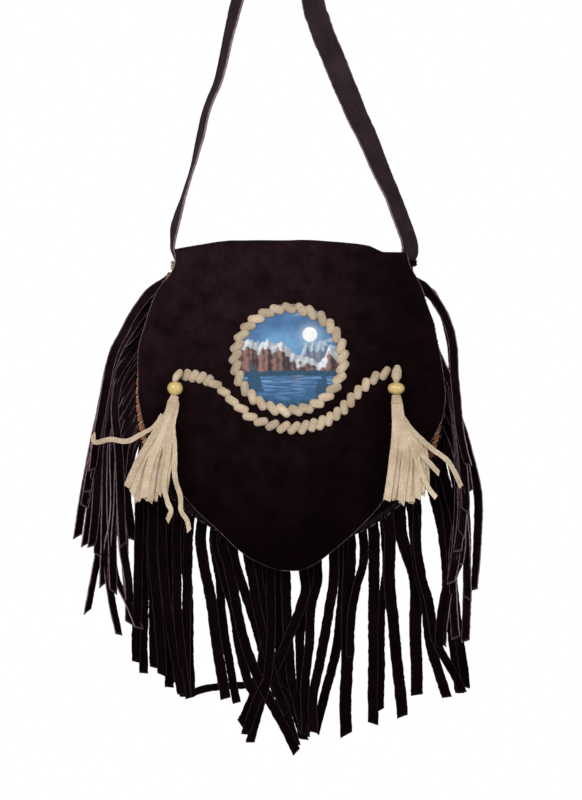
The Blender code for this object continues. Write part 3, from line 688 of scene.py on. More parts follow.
RIGHT_ROUTES = [
    (0.006, [(424, 285), (432, 294), (438, 302), (443, 311), (447, 321), (450.5, 332), (453, 345),
             (454, 358), (455, 385), (458, 417), (462, 440), (468, 465)]),
    (0.015, [(431, 292), (438, 303), (444, 314), (448, 326), (451, 340), (453, 356), (454, 375),
             (457, 402), (461, 440), (466, 470), (469, 492)]),
    (0.028, [(426, 322), (434, 345), (443, 366), (452, 385), (457, 415), (462, 450), (466, 490),
             (466, 512)]),
    (0.040, [(428, 335), (436, 355), (445, 375), (453, 395), (458, 425), (462, 460), (464, 500),
             (462, 535)]),
    (0.052, [(430, 348), (438, 364), (448, 382), (455, 405), (460, 440), (463, 480), (462, 520),
             (458, 552)]),
    (0.064, [(434, 360), (442, 374), (451, 392), (457, 425), (461, 460), (462, 500), (463, 540),
             (460, 566)]),
    (0.077, [(438, 374), (447, 390), (455, 410), (459, 440), (460, 480), (459, 520), (456, 560),
             (452, 584)]),
    (0.090, [(452, 397), (457, 425), (461, 455), (463, 490), (466, 520), (468, 560), (468, 600)]),
    (0.103, [(457, 412), (467, 440), (476, 476), (479, 505), (478, 545), (475, 591)]),
    (0.116, [(456, 426), (461, 452), (464, 485), (467, 520), (468, 560), (468, 600), (467, 643)]),
    (0.130, [(453, 436), (459, 457), (461, 485), (458, 520), (454, 560), (455, 600), (457, 640)]),
    (0.146, [(449, 452), (456, 478), (462, 515), (465, 545), (462, 562), (451, 589), (445, 624),
             (443, 646)]),
]
BOTTOM_ROUTES = [
    [(140, 470), (138, 500), (137, 560), (136, 620), (135, 664)],
    [(143, 475), (144, 510), (143, 560), (142, 620), (142, 676)],
    [(147, 485), (149, 515), (150, 560), (152, 620), (153, 670)],
    [(150, 490), (152, 520), (152, 560), (156, 610), (160, 650), (161, 677)],
    [(149, 495), (144, 512), (147, 535), (154, 564), (163, 610), (168, 650), (169, 688)],
    [(157, 500), (158, 530), (159, 560), (162, 600), (167, 650), (168, 690)],
    [(161, 505), (161, 535), (163, 580), (170, 630), (176, 670), (181, 697)],
    [(166, 515), (167, 545), (170, 590), (176, 640), (180, 680), (183, 700)],
    [(171, 520), (170, 550), (172, 600), (178, 640), (186, 663)],
    [(177, 525), (176, 550), (176, 600), (180, 650), (186, 699)],
    [(184, 530), (184, 560), (187, 600), (188, 640), (189, 690), (188, 701)],
    [(188, 532), (187, 560), (186, 600), (185, 650), (186, 698)],
    [(200, 540), (203.5, 568), (210, 603), (215, 638), (220.5, 673), (225, 701)],
    [(213, 545), (216, 566), (220, 588), (221.6, 614), (224.5, 640), (229, 665), (234, 695), (236, 706)],
    [(215, 545), (220, 564), (226, 588), (234, 620), (240, 655), (250, 690), (262, 702)],
    [(221, 545), (227, 566), (235, 602), (243, 640), (252, 668), (268, 700), (287, 735), (297, 755)],
    [(224, 548), (230, 570), (235, 602), (242, 636), (254, 672), (272, 706), (292, 736)],
    [(233, 552), (238, 574), (247, 602), (259, 640), (271, 680), (285, 715), (296, 748)],
    [(247, 556), (252, 580), (257, 612), (266, 650), (277, 690), (287, 716)],
    [(253, 560), (255, 584), (260, 612), (270, 655), (281, 690), (297, 720), (304, 743)],
    [(258, 562), (259.5, 590), (266, 622), (262, 660), (255, 690), (246, 715), (240, 727)],
    [(270, 565), (270.5, 595), (272, 630), (268, 670), (262, 700), (254, 730), (250, 745)],
    [(276, 565), (277, 595), (279, 640), (284, 680), (297, 712), (310, 737)],
    [(284, 566), (286, 595), (288, 627), (291, 680), (299, 712), (305, 738)],
    [(303, 566), (306, 588), (300, 610), (290, 634), (282, 655), (272, 676), (258, 700), (246, 737)],
    [(309, 565), (312, 590), (309, 612), (301, 632), (300, 655), (301, 690), (303, 735)],
    [(317, 562), (317, 584), (311, 612), (309, 650), (305, 700), (306, 739)],
    [(334, 556), (334, 580), (330, 610), (324.5, 640), (319.5, 668), (313, 700), (313, 735)],
    [(344, 548), (343, 600), (337, 650), (327, 690), (316, 735)],
    [(350, 545), (348, 600), (347.5, 650), (346, 700), (346.5, 738)],
    [(364, 540), (363, 565), (357, 590), (352, 620), (350, 660)],
    [(374.5, 540), (375, 600), (374, 660), (374.5, 727)],
    [(386, 545), (387, 571), (383, 602), (382, 640), (382, 713)],
    [(390, 535), (390, 575), (392, 605), (396, 640), (399.5, 680), (403.5, 719)],
    [(402, 535), (410, 560), (416, 580), (417, 612), (417.5, 650), (418, 698)],
    [(413, 510), (416, 540), (421, 575), (427, 605), (431.5, 645), (439, 672), (448, 700)],
    [(418, 505), (418, 545), (423, 580), (430, 603), (436, 640), (446, 660), (456, 678), (464, 695)],
    [(434, 490), (441, 520), (447, 560), (450, 602), (454, 642), (459, 680), (462, 696)],
    [(440, 480), (447, 512), (452, 550), (456, 600), (461, 640), (466, 676), (467, 690)],
    [(443, 468), (449, 490), (457, 522), (462, 548), (458, 566), (447, 592), (441, 626), (440, 650)],
]
# A strip that has strayed out of the bottom fringe, and the column of its root
STRAY_ROUTE = [(262, 575), (263, 610), (262, 650), (258, 678), (247, 688), (230, 689), (205, 692),
               (188, 698)]
STRAY_ROOT = 262
BOTTOM_STRIP_WIDTH = 0.0085
# Width of some bottom strips against the usual one, by their place in the list
HEAVY_BOTTOM = {12: 1.15, 13: 0.9, 27: 1.1, 29: 1.4, 30: 0.9, 31: 1.2, 32: 0.8, 33: 1.25, 34: 1.3,
                35: 1.15, 36: 0.9}
# Steps along a strip, how deep its root lies in the seam, and how far the side strips fan out in depth
STRIP_STEP = 0.0022
ROOT_INSET = 0.003
SIDE_FAN = 0.0215
# Least and most curl of a strip in degrees, at the sides and below
SIDE_ROLL, BOTTOM_ROLL = (22, 44), (3, 14)
# Share of raw colour on the strips' cut edges, and how ragged these are
SIDE_RIM, BOTTOM_RIM = 1.0, 0.12
SIDE_RAG, BOTTOM_RAG, STRAY_RAG = 0.0006, 0.0009, 0.0008
# Raw colour at a strip's cut end against that on its sides
END_RAW = 0.4


def fray(distance, seed, amount):
    """How far a cut edge wanders from its line."""
    coarse = wobble(distance, seed, 0.2, 0.006)
    fine = wobble(distance, seed, 0.8, 0.0014)
    return amount * (0.6 * coarse + 0.55 * fine)


def ribbon(skin, points, sides, width, thickness, tones, cut, seed, raggedness=0.00055, rim=1.0, neck=1.0):
    """A strip along the points, whose width lies along the sides, with a slanted cut end.

    tones are its shades at the root and at the end; neck is its first width against its full one.
    """
    shares = (-1.0, -0.86, -0.45, 0.0, 0.45, 0.86, 1.0)
    grid = []
    count = len(points)
    for k, (point, side) in enumerate(zip(points, sides)):
        distance = k * 0.002
        along = points[min(k + 1, count - 1)] - points[max(k - 1, 0)]
        along = along / np.linalg.norm(along)
        normal = np.cross(along, side)
        half = width / 2 * (1 - 0.08 * k / count) * (neck + (1 - neck) * smooth_step(distance / 0.036))
        end = smooth_step(1 - (count - 1 - k) / 5)
        row = []
        for share in shares:
            rag = fray(distance, seed + share * 0.1, raggedness) * abs(share) ** 4
            reach = share * (half + rag)
            cup = 0.10 * half * (share * share - 0.4)
            row.append(point + side * reach + normal * cup + along * end * cut * share * half)
        grid.append(row)
    shade = np.linspace(*tones, count)[:, None] * np.ones(len(shares))
    skin.add_sheet(grid, thickness, shade, rim, ends=END_RAW)


def steady_flat(along, before):
    """The flat sideways direction of a strip, kept to the side it had before."""
    flat = np.array([-along[1], 0.0, along[0]])
    return flat if np.dot(flat, before) > 0 else -flat


def hang_strip(skin, root, route, start_y, layer, width, roll, seed, cut, tones, rim, raggedness):
    """One fringe strip from its root on the seam, through its route, down to its cut end."""
    line = Line(through([root, *[seen(*place) for place in route]], 10))
    steps = max(int(line.length / STRIP_STEP), 20)
    points, sides, flat = [], [], np.array([1.0, 0.0, 0.0])
    for k in range(steps + 1):
        distance = line.length * k / steps
        x, z = line.at(distance)
        along = line.direction(distance, 0.004)
        drift = 0.0011 * wobble(distance, seed, 0.4, 0.05) * smooth_step(distance / 0.03)
        shift = smooth_step((distance - 0.004) / 0.045)
        y = start_y + (layer - start_y) * shift + 0.0022 * wobble(distance, seed, 0.9, 0.07) * shift
        points.append(np.array([x + drift, y, z]))
        curl = 1 + 0.7 * wobble(distance, seed, 1.7, 0.06)
        turn = roll * smooth_step((distance - 0.006) / 0.03) * curl
        flat = steady_flat(along, flat)
        sides.append(flat * math.cos(turn) + np.array([0.0, 1.0, 0.0]) * math.sin(turn))
    ribbon(skin, points, sides, width, FRINGE_THICKNESS, tones, cut, seed, raggedness, rim)


def rooted(seam, distance):
    """Root of a strip at a distance along the seam, a little inside it."""
    return seam.at(distance) - outward(seam.direction(distance)) * ROOT_INSET


def header(skin, seam, start, end):
    """The uncut band of fringe leather that the seam holds."""
    steps = max(int((end - start) / 0.004), 4)
    rows = []
    for reach in (-FRINGE_HEADER, -FRINGE_HEADER / 2, 0.0, 0.0012):
        row = []
        for k in range(steps + 1):
            distance = start + (end - start) * k / steps
            x, z = seam.at(distance) + outward(seam.direction(distance)) * reach
            row.append((x, HEADER_Y, z))
        rows.append(row)
    skin.add_sheet(rows, FRINGE_THICKNESS, 0.1)


def make_side_fringe(name, node, seam, routes, from_right, roll_sign, tones):
    skin = Skin()
    top, bottom = 0.0035, 0.006 + SIDE_SEAM_LENGTH
    ends = (seam.length - bottom, seam.length - top) if from_right else (top, bottom)
    header(skin, seam, *ends)
    for rank, (distance, route) in enumerate(routes):
        place = seam.length - distance if from_right else distance
        root = rooted(seam, place)
        layer = HEADER_Y - SIDE_FAN + SIDE_FAN * rank / len(routes)
        roll = roll_sign * math.radians(rng.uniform(*SIDE_ROLL))
        width = STRIP_WIDTH * rng.uniform(1.15, 1.30)
        cut = rng.choice((-1, 1)) * rng.uniform(0.3, 0.9)
        tone_factor = rng.uniform(0.75, 1.25)
        shade = [tone * tone_factor for tone in tones]
        hang_strip(skin, root, route, HEADER_Y, layer, width, roll, 3.1 * rank + distance * 7, cut,
                   shade, SIDE_RIM, SIDE_RAG)
    dress(skin, name, "bag", "dark_brown_suede", node)


def make_bottom_fringe(seam):
    skin = Skin()
    side = 0.0072 + SIDE_SEAM_LENGTH
    header(skin, seam, side, seam.length - side)
    below = seam.points[:, 1] < -0.5 * BODY_LENGTH

    def rooted_at(column):
        """Root of a strip that leaves the seam's lower part at a column of the photograph."""
        x = seen(column, 0)[0]
        return rooted(seam, float(np.interp(x, seam.points[below, 0], seam.distances[below])))

    for rank, route in enumerate(BOTTOM_ROUTES):
        root = rooted_at(route[0][0])
        hung = [place for place in route if seen(*place)[1] < root[1] - 0.007]
        layer = HEADER_Y + 0.0026 * ((rank * 2) % 3 - 1) + rng.uniform(-0.0006, 0.0006)
        roll = math.radians(rng.choice((-1, 1)) * rng.uniform(*BOTTOM_ROLL))
        width = BOTTOM_STRIP_WIDTH * rng.uniform(0.97, 1.06) * HEAVY_BOTTOM.get(rank, 1.0)
        cut = rng.choice((-1, 1, 1)) * rng.uniform(0.1, 0.6)
        # The bottom strips' low tones are painted shade like the flap's low end, with a random tone at each
        # end
        hang_strip(skin, root, hung, HEADER_Y, layer, width, roll, 40 + 2.7 * rank, cut,
                   (0.10, rng.uniform(0.0, 0.14)), BOTTOM_RIM, BOTTOM_RAG)
    hang_strip(skin, rooted_at(STRAY_ROOT), STRAY_ROUTE, HEADER_Y, HEADER_Y + 0.006, STRIP_WIDTH,
               0.25, 333.0, 0.4, (0.1, 0.1), BOTTOM_RIM, STRAY_RAG)
    dress(skin, "fringe_bottom_strips", "bag", "dark_brown_suede", "fringe_bottom")


# Strap and its ties

STRAP_ROUTE = [
    (-0.1028, -0.0260), (-0.1032, -0.0180), (-0.1067, -0.0080), (-0.1067, -0.0018), (-0.1049, 0.0126),
    (-0.1008, 0.0270), (-0.0963, 0.0414), (-0.0918, 0.0558), (-0.0873, 0.0702), (-0.0837, 0.0846),
    (-0.0801, 0.0990), (-0.0770, 0.1134), (-0.0720, 0.1278), (-0.0657, 0.1422), (-0.0617, 0.1566),
    (-0.0585, 0.1710), (-0.0554, 0.1854), (-0.0518, 0.1998), (-0.0477, 0.2160), (-0.0300, 0.2760),
    (-0.0222, 0.3040), (-0.0160, 0.3170), (-0.0081, 0.3222), (0.0000, 0.3170), (0.0052, 0.3040),
    (0.0102, 0.2760), (0.0212, 0.2142), (0.0257, 0.1998), (0.0306, 0.1854), (0.0369, 0.1710),
    (0.0428, 0.1566), (0.0486, 0.1422), (0.0549, 0.1278), (0.0608, 0.1134), (0.0680, 0.0990),
    (0.0743, 0.0846), (0.0801, 0.0702), (0.0864, 0.0558), (0.0932, 0.0414), (0.0986, 0.0270),
    (0.1038, 0.0135), (0.1084, 0.0000), (0.1094, -0.0090), (0.1074, -0.0180), (0.1068, -0.0300),
]
# The strap's turn in degrees against the share of its length; 90 faces front
STRAP_TWIST = [
    (0.0, 12), (0.02, 14), (0.05, 26), (0.09, 13), (0.12, 10), (0.17, 20), (0.22, 20), (0.30, 27),
    (0.35, 34), (0.49, 0), (0.53, 0), (0.66, 90), (0.73, 88), (0.815, 65), (0.86, 54), (0.90, 44),
    (0.972, 46), (1.0, 42),
]
# How much of its full spread the strap keeps at its right tie, from 0 to 1
STRAP_RIGHT_SPREAD = 0.41
STRAP_STEPS = 330


def make_strap():
    line = Line(through(STRAP_ROUTE))
    count = STRAP_STEPS
    shares = (-1.0, -0.94, -0.6, -0.2, 0.2, 0.6, 0.94, 1.0)
    grid = []
    for k in range(count + 1):
        share = k / count
        distance = line.length * share
        x, z = line.at(distance)
        along = line.direction(distance, 0.004)
        raised = smooth_step(z / STRAP_DROP)
        end_y = STRAP_Y + STRAP_TIED_OFFSET * (1 - smooth_step(min(share, 1 - share) / 0.25))
        centre = np.array([x, end_y * (1 - raised), z + STRAP_THICKNESS / 2])
        turn = math.radians(np.interp(share, *zip(*STRAP_TWIST)))
        free = smooth_step(min(share, 1 - share) / 0.1)
        turn += math.radians(3) * wobble(share, 0.5, 0.0, 0.05) * free
        across = np.array([-along[1], 0.0, along[0]])
        width = np.array([0.0, 1.0, 0.0]) * math.cos(turn) + across * math.sin(turn)
        normal = np.cross(np.array([along[0], 0.0, along[1]]), width)
        at_right = smooth_step((1 - share - 0.010) / 0.016)
        spread = smooth_step((share - 0.016) / 0.06)
        spread *= STRAP_RIGHT_SPREAD + (1 - STRAP_RIGHT_SPREAD) * at_right
        half = (STRAP_TIED_WIDTH + (STRAP_WIDTH - STRAP_TIED_WIDTH) * spread) / 2
        row = []
        for u in shares:
            rag = 0.0004 * wobble(distance, u, 0.4, 0.005) + 0.00025 * wobble(distance, u, 0.9, 0.0013)
            cup = 0.05 * half * (u * u - 0.4)
            row.append(centre + width * u * (half + rag * abs(u) ** 4) + normal * cup)
        grid.append(row)
    skin = Skin()
    skin.add_sheet(grid, STRAP_THICKNESS * 0.95, 0.7)
    dress(skin, "strap_leather", "bag", "dark_brown_suede", "strap", strap_suede)


def tie_points(side, outer_x, back_y, z):
    half = TIE_DIAMETER / 2 + CLEARANCE
    x, back, front, corner = outer_x + half, back_y + half, BACK_Y - LEATHER / 2 - half, 0.002
    route = [
        (x - 0.010, back, z), (x - corner, back, z), (x, back - corner, z),
        (x, front + corner, z), (x - corner, front, z), (x - 0.010, front, z),
    ]
    return through([(side * px, py, pz) for px, py, pz in route], 8)


# name, side, outermost x of what is tied, height, turns and slot
TIES = (
    ("strap_tie_left", -1, 0.1052, -0.0190, 3, "tan_suede_lace"),
    ("strap_tie_right", 1, 0.1123, -0.0180, 2, "dark_brown_suede"),
)
TIE_PITCH = 0.0026


def make_ties():
    back_y = STRAP_Y + STRAP_TIED_OFFSET + STRAP_TIED_WIDTH / 2
    for name, side, outer_x, z, turns, slot in TIES:
        points = tie_points(side, outer_x, back_y, z)
        skin = Skin()
        for turn in range(turns):
            shifted = points + (0.0, 0.0, -TIE_PITCH * turn)
            swell = [0.92 + 0.1 * wobble(k * 0.1, turn, 0.0, 0.3) for k in range(len(points))]
            skin.add_tube(shifted, [TIE_DIAMETER / 2 * s for s in swell], 14, rng.uniform(0.6, 0.9))
        dress(skin, name + "_lace", "bag", slot, name)


# Laces

def turned(along, turn):
    """A direction in (x, z) turned by an angle, and the direction square to it."""
    cos, sin = math.cos(turn), math.sin(turn)
    run = np.array([along[0] * cos - along[1] * sin, along[0] * sin + along[1] * cos])
    return run, np.array([-run[1], run[0]])


def flap_stitch(centre, along, turn, base):
    """place(a, b, lift) of a stitch on the flap, turned from the way the lace runs."""
    run, side = turned(along, turn)

    def place(a, b, lift):
        x, z = np.array(centre) + run * a + side * b
        return on_flap(x, z, base(x, z) + lift)
    return place


RING_ACROSS, RING_DOWN = 0.0484, 0.0461
RING_CENTRE = (-0.0007, -0.1076)
RING_SLANT = -33
DISC_RADIUS = 0.0495
STITCH_LENGTH = 0.0145
STITCH_WIDTH = 0.0078
STITCH_HEIGHT = 0.0030


def over_disc(x, z):
    """How far a lace stands off the flap where it crosses the disc's edge."""
    past = math.hypot(x, z + MEDALLION_DROP) - DISC_RADIUS
    down = smooth_step((past - 0.0006) / 0.003)
    return (MEDALLION_THICKNESS + CLEARANCE) * (1 - down) + CLEARANCE / 2


def make_medallion_lace():
    skin = Skin()
    for i in range(MEDALLION_STITCHES):
        angle = 2 * math.pi * (i + rng.uniform(-0.06, 0.06)) / MEDALLION_STITCHES
        x, z = RING_ACROSS * math.sin(angle), RING_DOWN * math.cos(angle)
        turn = math.radians(RING_SLANT + rng.uniform(-5, 5)) - angle
        size = rng.uniform(0.94, 1.06)
        stitch = flap_stitch((RING_CENTRE[0] + x, RING_CENTRE[1] + z), (1.0, 0.0), turn, over_disc)
        skin.add_pad(stitch, STITCH_LENGTH * size, STITCH_WIDTH, STITCH_HEIGHT, rng.uniform(0.70, 1.0))
    dress(skin, "medallion_lace_stitches", "flap", "tan_suede_lace", "medallion_lace")


SWAG_ROUTE = [
    (-0.0940, -0.1215), (-0.0828, -0.1233), (-0.0700, -0.1280), (-0.0585, -0.1372),
    (-0.0468, -0.1494), (-0.0300, -0.1622), (-0.0100, -0.1678), (0.0100, -0.1684),
    (0.0290, -0.1638), (0.0440, -0.1550), (0.0560, -0.1425), (0.0680, -0.1300),
    (0.0800, -0.1222), (0.0912, -0.1182),
]
# Slant of the swag's stitches from its run, in degrees, against the share of its length
SWAG_SLANT = [(0.0, 66), (0.10, 62), (0.14, 8), (0.22, 16), (0.30, 30), (0.46, 38), (0.60, 52),
              (0.78, 40), (1.0, 34)]


def make_swag_lace():
    skin = Skin()
    line = Line(through(SWAG_ROUTE))
    width, length = STITCH_WIDTH * 0.95, STITCH_LENGTH * 0.93
    distance = 0.001
    while distance < line.length:
        slant = float(np.interp(distance / line.length, *zip(*SWAG_SLANT)))
        along = line.direction(distance)
        turn = math.radians(slant + rng.uniform(-5, 5))
        centre = line.at(distance) + np.array([-along[1], along[0]]) * rng.uniform(-0.0004, 0.0004)
        size = rng.uniform(0.94, 1.08) * (0.86 if slant > 60 else 1.0)
        stitch = flap_stitch(centre, along, turn, lambda x, z: CLEARANCE / 2)
        skin.add_pad(stitch, length * size, width, STITCH_HEIGHT, rng.uniform(0.70, 1.0))
        distance += min(0.82 * width / math.sin(math.radians(max(slant, 8))), 0.80 * length)
    dress(skin, "swag_lace_stitches", "flap", "tan_suede_lace", "swag_lace")


SEAM_PITCH = 0.0084
SEAM_LACE_INSET = 0.0034
LONG_STITCH = (SEAM_PITCH * 0.88, 0.0054, 0.0019)
SHORT_TURN = (0.0062, 0.0016, 0.0020)
# The drop below which painted shade darkens the front lace, and over how much
LACE_SHADE_DROP, LACE_FADE = 0.185, 0.018


def lace_painted_shade(z):
    """Painted shade: the lace in front keeps a random tone at the sides and is darkened under the flap's
    point.
    """
    return rng.uniform(0.80, 1.0) * (1 - smooth_step((-z - LACE_SHADE_DROP) / LACE_FADE))


def make_seam_lace(seam):
    """Long orange stitches along the seam, each crossed by a short pale turn of the same lace."""
    skin, pale = Skin(), Skin()
    faces = ((FRONT_Y - LEATHER / 2 - CLEARANCE / 2, -1), (BACK_Y + LEATHER / 2 + CLEARANCE / 2, 1))
    stitches = int(seam.length / SEAM_PITCH)
    for face, side in faces:
        for i in range(stitches):
            distance = (i + 0.5) * seam.length / stitches

            def stitch(turn, shift, face=face, side=side, distance=distance):
                along = seam.direction(distance + shift)
                run, cross = turned(along, turn)
                centre = seam.at(distance + shift) - outward(along) * SEAM_LACE_INSET

                def place(a, b, lift):
                    x, z = centre + run * a + cross * b
                    return np.array([x, face + side * lift, z])
                return place

            lean = math.radians(rng.uniform(4, 14)) * side
            # Painted shade darkens the front lace under the flap's point
            tone = lace_painted_shade(seam.at(distance)[1]) if side < 0 else rng.uniform(0.80, 1.0)
            skin.add_pad(stitch(lean, 0.0), *LONG_STITCH, tone)
            if distance + SEAM_PITCH / 2 < seam.length:
                across = math.radians(rng.uniform(48, 62)) * side
                pale.add_pad(stitch(across, SEAM_PITCH / 2), *SHORT_TURN, tone)
    dress(skin, "seam_lace_stitches", "bag", "orange_tan_lace", "seam_lace")
    dress(pale, "seam_lace_turns", "bag", "tan_suede_lace")


# Medallion

SKY_HIGH = np.array([0.040, 0.115, 0.270])
SKY_GLOW = np.array([0.150, 0.340, 0.560])
CLOUD = np.array([0.520, 0.620, 0.700])
SNOW = np.array([0.780, 0.830, 0.850])
ROCK_LIGHT = np.array([0.300, 0.160, 0.130])
ROCK_DARK = np.array([0.035, 0.020, 0.028])
FOREST = np.array([0.014, 0.050, 0.095])
LAKE = np.array([0.035, 0.105, 0.230])
MOONLIGHT = np.array([0.95, 0.95, 0.90])
MOON, MOON_RADIUS = (0.40, 0.50), 0.155
# Mountain lines, in disc radii: seed, height, foot, width of a peak, haze
RANGES = ((3.3, 0.58, -0.10, 0.62, 0.45), (8.1, 0.80, -0.26, 0.85, 0.0))
# Pines, in disc radii: place across, foot and height
PINES = [(-0.76, -0.62, 0.56), (-0.64, -0.66, 0.42), (0.68, -0.66, 0.46), (0.58, -0.70, 0.32)]
PAINTED_SHARE = 0.90
DISC_STEPS = 130


def blend_colours(one, two, share):
    share = smooth_step(share)
    return one * (1 - share) + two * share


def ridge(x, seed, height, base, scale):
    """Height of a mountain line at x, in disc radii."""
    total = 0.0
    for octave in range(4):
        size = scale / 2 ** octave
        total += abs(wobble(x, seed + octave, 0.3, size)) / 2 ** octave
    return base + height * (1.0 - 1.15 * total)


def landscape(x, z):
    """Colour of the painting at a place in disc radii: peaks over a lake under an evening sky."""
    glow = math.exp(-((x + 0.25) ** 2 / 0.45 + (z - 0.22) ** 2 / 0.10))
    colour = blend_colours(SKY_HIGH, SKY_GLOW, 0.25 + 0.75 * glow + 0.30 * wobble(x, z, 0.2, 0.35))
    streak = wobble(x * 0.35, z * 1.6, 0.7, 0.22)
    colour = blend_colours(colour, CLOUD, (streak - 0.22) * 1.6)
    moon = math.hypot(x - MOON[0], z - MOON[1])
    colour = blend_colours(colour, CLOUD, 0.75 - moon * 2.1)
    colour = blend_colours(colour, MOONLIGHT, (MOON_RADIUS - moon) * 60)
    for seed, height, base, scale, haze in RANGES:
        crest = ridge(x, seed, height, base, scale)
        if z < crest:
            below = crest - z
            slope = ridge(x + 0.03, seed, height, base, scale) - ridge(x - 0.03, seed, height, base, scale)
            lit = 0.5 + 6.0 * slope + 0.5 * wobble(x, z, seed, 0.09)
            rock = blend_colours(ROCK_DARK, ROCK_LIGHT, lit)
            snow_line = 0.16 + 0.14 * wobble(x, z, seed + 5, 0.10)
            snow = SNOW * (0.45 + 0.55 * smooth_step(lit))
            peak = blend_colours(snow, rock, (below - snow_line) * 14 + 0.5)
            colour = peak * (1 - haze) + SKY_GLOW * 0.8 * haze
    shore = -0.34 + 0.035 * wobble(x, 4.0, 0.0, 0.30)
    if z < shore + 0.10 + 0.05 * abs(wobble(x, 2.0, 0.0, 0.05)):
        colour = FOREST * (1.0 + 1.6 * abs(wobble(x, z, 1.0, 0.04)))
    if z < shore:
        shine = wobble(x * 0.3, z * 3.0, 0.5, 0.10)
        colour = blend_colours(LAKE, SKY_GLOW, 0.35 + 1.1 * shine - 0.8 * (shore - z))
        colour = blend_colours(colour, ROCK_LIGHT * 0.8, 0.55 - abs(x - 0.15) * 3 - (shore - z) * 2)
    for trunk, foot, height in PINES:
        up = z - foot
        if 0 < up < height:
            taper = (1 - up / height) * height * 0.30
            tiers = 0.55 + 0.45 * abs(math.sin(up * 34 + trunk * 9))
            if abs(x - trunk) < taper * tiers + 0.006:
                colour = FOREST * (1.0 + 2.0 * abs(wobble(x, z, 3.0, 0.03)))
    bank = -0.82 + 0.10 * wobble(x, 7.0, 0.0, 0.5) + 0.16 * x * x
    if z < bank:
        colour = FOREST * (1.2 + 2.5 * abs(wobble(x, z, 6.0, 0.06)))
    return colour


def make_medallion_disc():
    radius = DISC_RADIUS
    lift = CLEARANCE + MEDALLION_THICKNESS / 2
    steps = np.linspace(-1, 1, DISC_STEPS)
    rows, paint = [], []
    for v in steps:
        row, tints = [], []
        for u in steps:
            x, z = u * math.sqrt(1 - v * v / 2), v * math.sqrt(1 - u * u / 2)
            row.append(on_flap(x * radius, z * radius - MEDALLION_DROP, lift))
            tints.append(landscape(x / PAINTED_SHARE, z / PAINTED_SHARE))
        rows.append(row)
        paint.append(tints)
    skin = Skin()
    skin.add_sheet(rows, MEDALLION_THICKNESS, 0.5, 1.0, paint)
    dress(skin, "medallion_disc_leather", "flap", "blue_painted_leather", "medallion_disc")


# Beads and tassels

def bead_centre(x):
    return np.array([x, flap_depth(x, -BEAD_DROP) - LEATHER / 2 - BEAD_LIFT, -BEAD_DROP])


# Radius of a bead's flat ends against its own, and its rings and sides
BEAD_FLAT = 0.30
BEAD_RINGS, BEAD_SIDES = 26, 48


def make_bead(side, x, diameter, length):
    skin = Skin()
    centre = bead_centre(x)
    profile = []
    sides = BEAD_SIDES
    for k in range(BEAD_RINGS + 1):
        turn = math.pi * k / BEAD_RINGS
        radius = diameter / 2 * math.sqrt(math.sin(turn) ** 2 * (1 - BEAD_FLAT ** 2) + BEAD_FLAT ** 2)
        profile.append((radius, length / 2 * math.cos(turn) * (1 - 0.04 * math.cos(turn) ** 8)))
    profile += [(BEAD_BORE / 2, length / 2 * share) for share in (-0.90, 0.0, 0.90)]
    points = []
    for radius, z in profile:
        for s in range(sides):
            turn = 2 * math.pi * s / sides
            points.append(centre + (radius * math.cos(turn), radius * math.sin(turn), z))
    skin.add(points, ring_faces(len(profile), sides, True), [0.0] * len(points), 0.5)
    dress(skin, "bead_" + side + "_wood", "tassel_" + side, "yellow_wood_bead", "bead_" + side)


# The thong's wide upper end, as (column, row, lift from the flap, half width)
THONG_TOPS = {
    "left": [(181.0, 371.0, 0.0034, 0.0022), (179.5, 373.5, 0.0058, 0.0032),
             (177.0, 377.0, 0.0084, 0.0034)],
    "right": [(397.0, 366.5, 0.0038, 0.0026), (396.5, 371.0, 0.0064, 0.0042),
              (395.8, 376.5, 0.0088, 0.0046)],
}


def make_thong(side, x, bead_length):
    centre = bead_centre(x)
    half = THONG_DIAMETER / 2
    points, radii = [], []
    for column, row, lift, radius in THONG_TOPS[side]:
        points.append(on_flap(*seen(column, row), lift))
        radii.append(radius)
    rises = (bead_length / 2 + 0.001, bead_length / 2 - 0.001, 0.0, -bead_length / 2 - 0.008)
    points += [centre + (0.0, 0.0, rise) for rise in rises]
    radii += [0.0024, half, half, half]
    skin = Skin()
    skin.add_tube(through(points, 8), along_curve(radii, 8), 16, 0.9)
    thong = "tassel_thong_" + side
    dress(skin, thong + "_lace", "tassel_" + side, "tan_suede_lace", thong)


def strand(skin, line, start_y, end_y, width, seed, neck):
    """One flat strand of a tassel."""
    steps = max(int(line.length / STRIP_STEP), 16)
    points, sides, flat = [], [], np.array([1.0, 0.0, 0.0])
    for k in range(steps + 1):
        share = k / steps
        x, z = line.at(line.length * share)
        along = line.direction(line.length * share, 0.003)
        depth = start_y + (end_y - start_y) * smooth_step(share / 0.7)
        depth += 0.0007 * wobble(share, seed, 0.0, 0.3)
        points.append(np.array([x, depth, z]))
        turn = 0.30 * wobble(share, seed, 0.6, 0.4) * smooth_step(share / 0.3)
        flat = steady_flat(along, flat)
        sides.append(flat * math.cos(turn) + np.array([0.0, 1.0, 0.0]) * math.sin(turn))
    tone = rng.uniform(0.80, 1.0)
    ribbon(skin, points, sides, width, STRAND_THICKNESS, (tone, tone), rng.uniform(-0.9, 0.9), seed,
           0.0005, 0.7, neck)


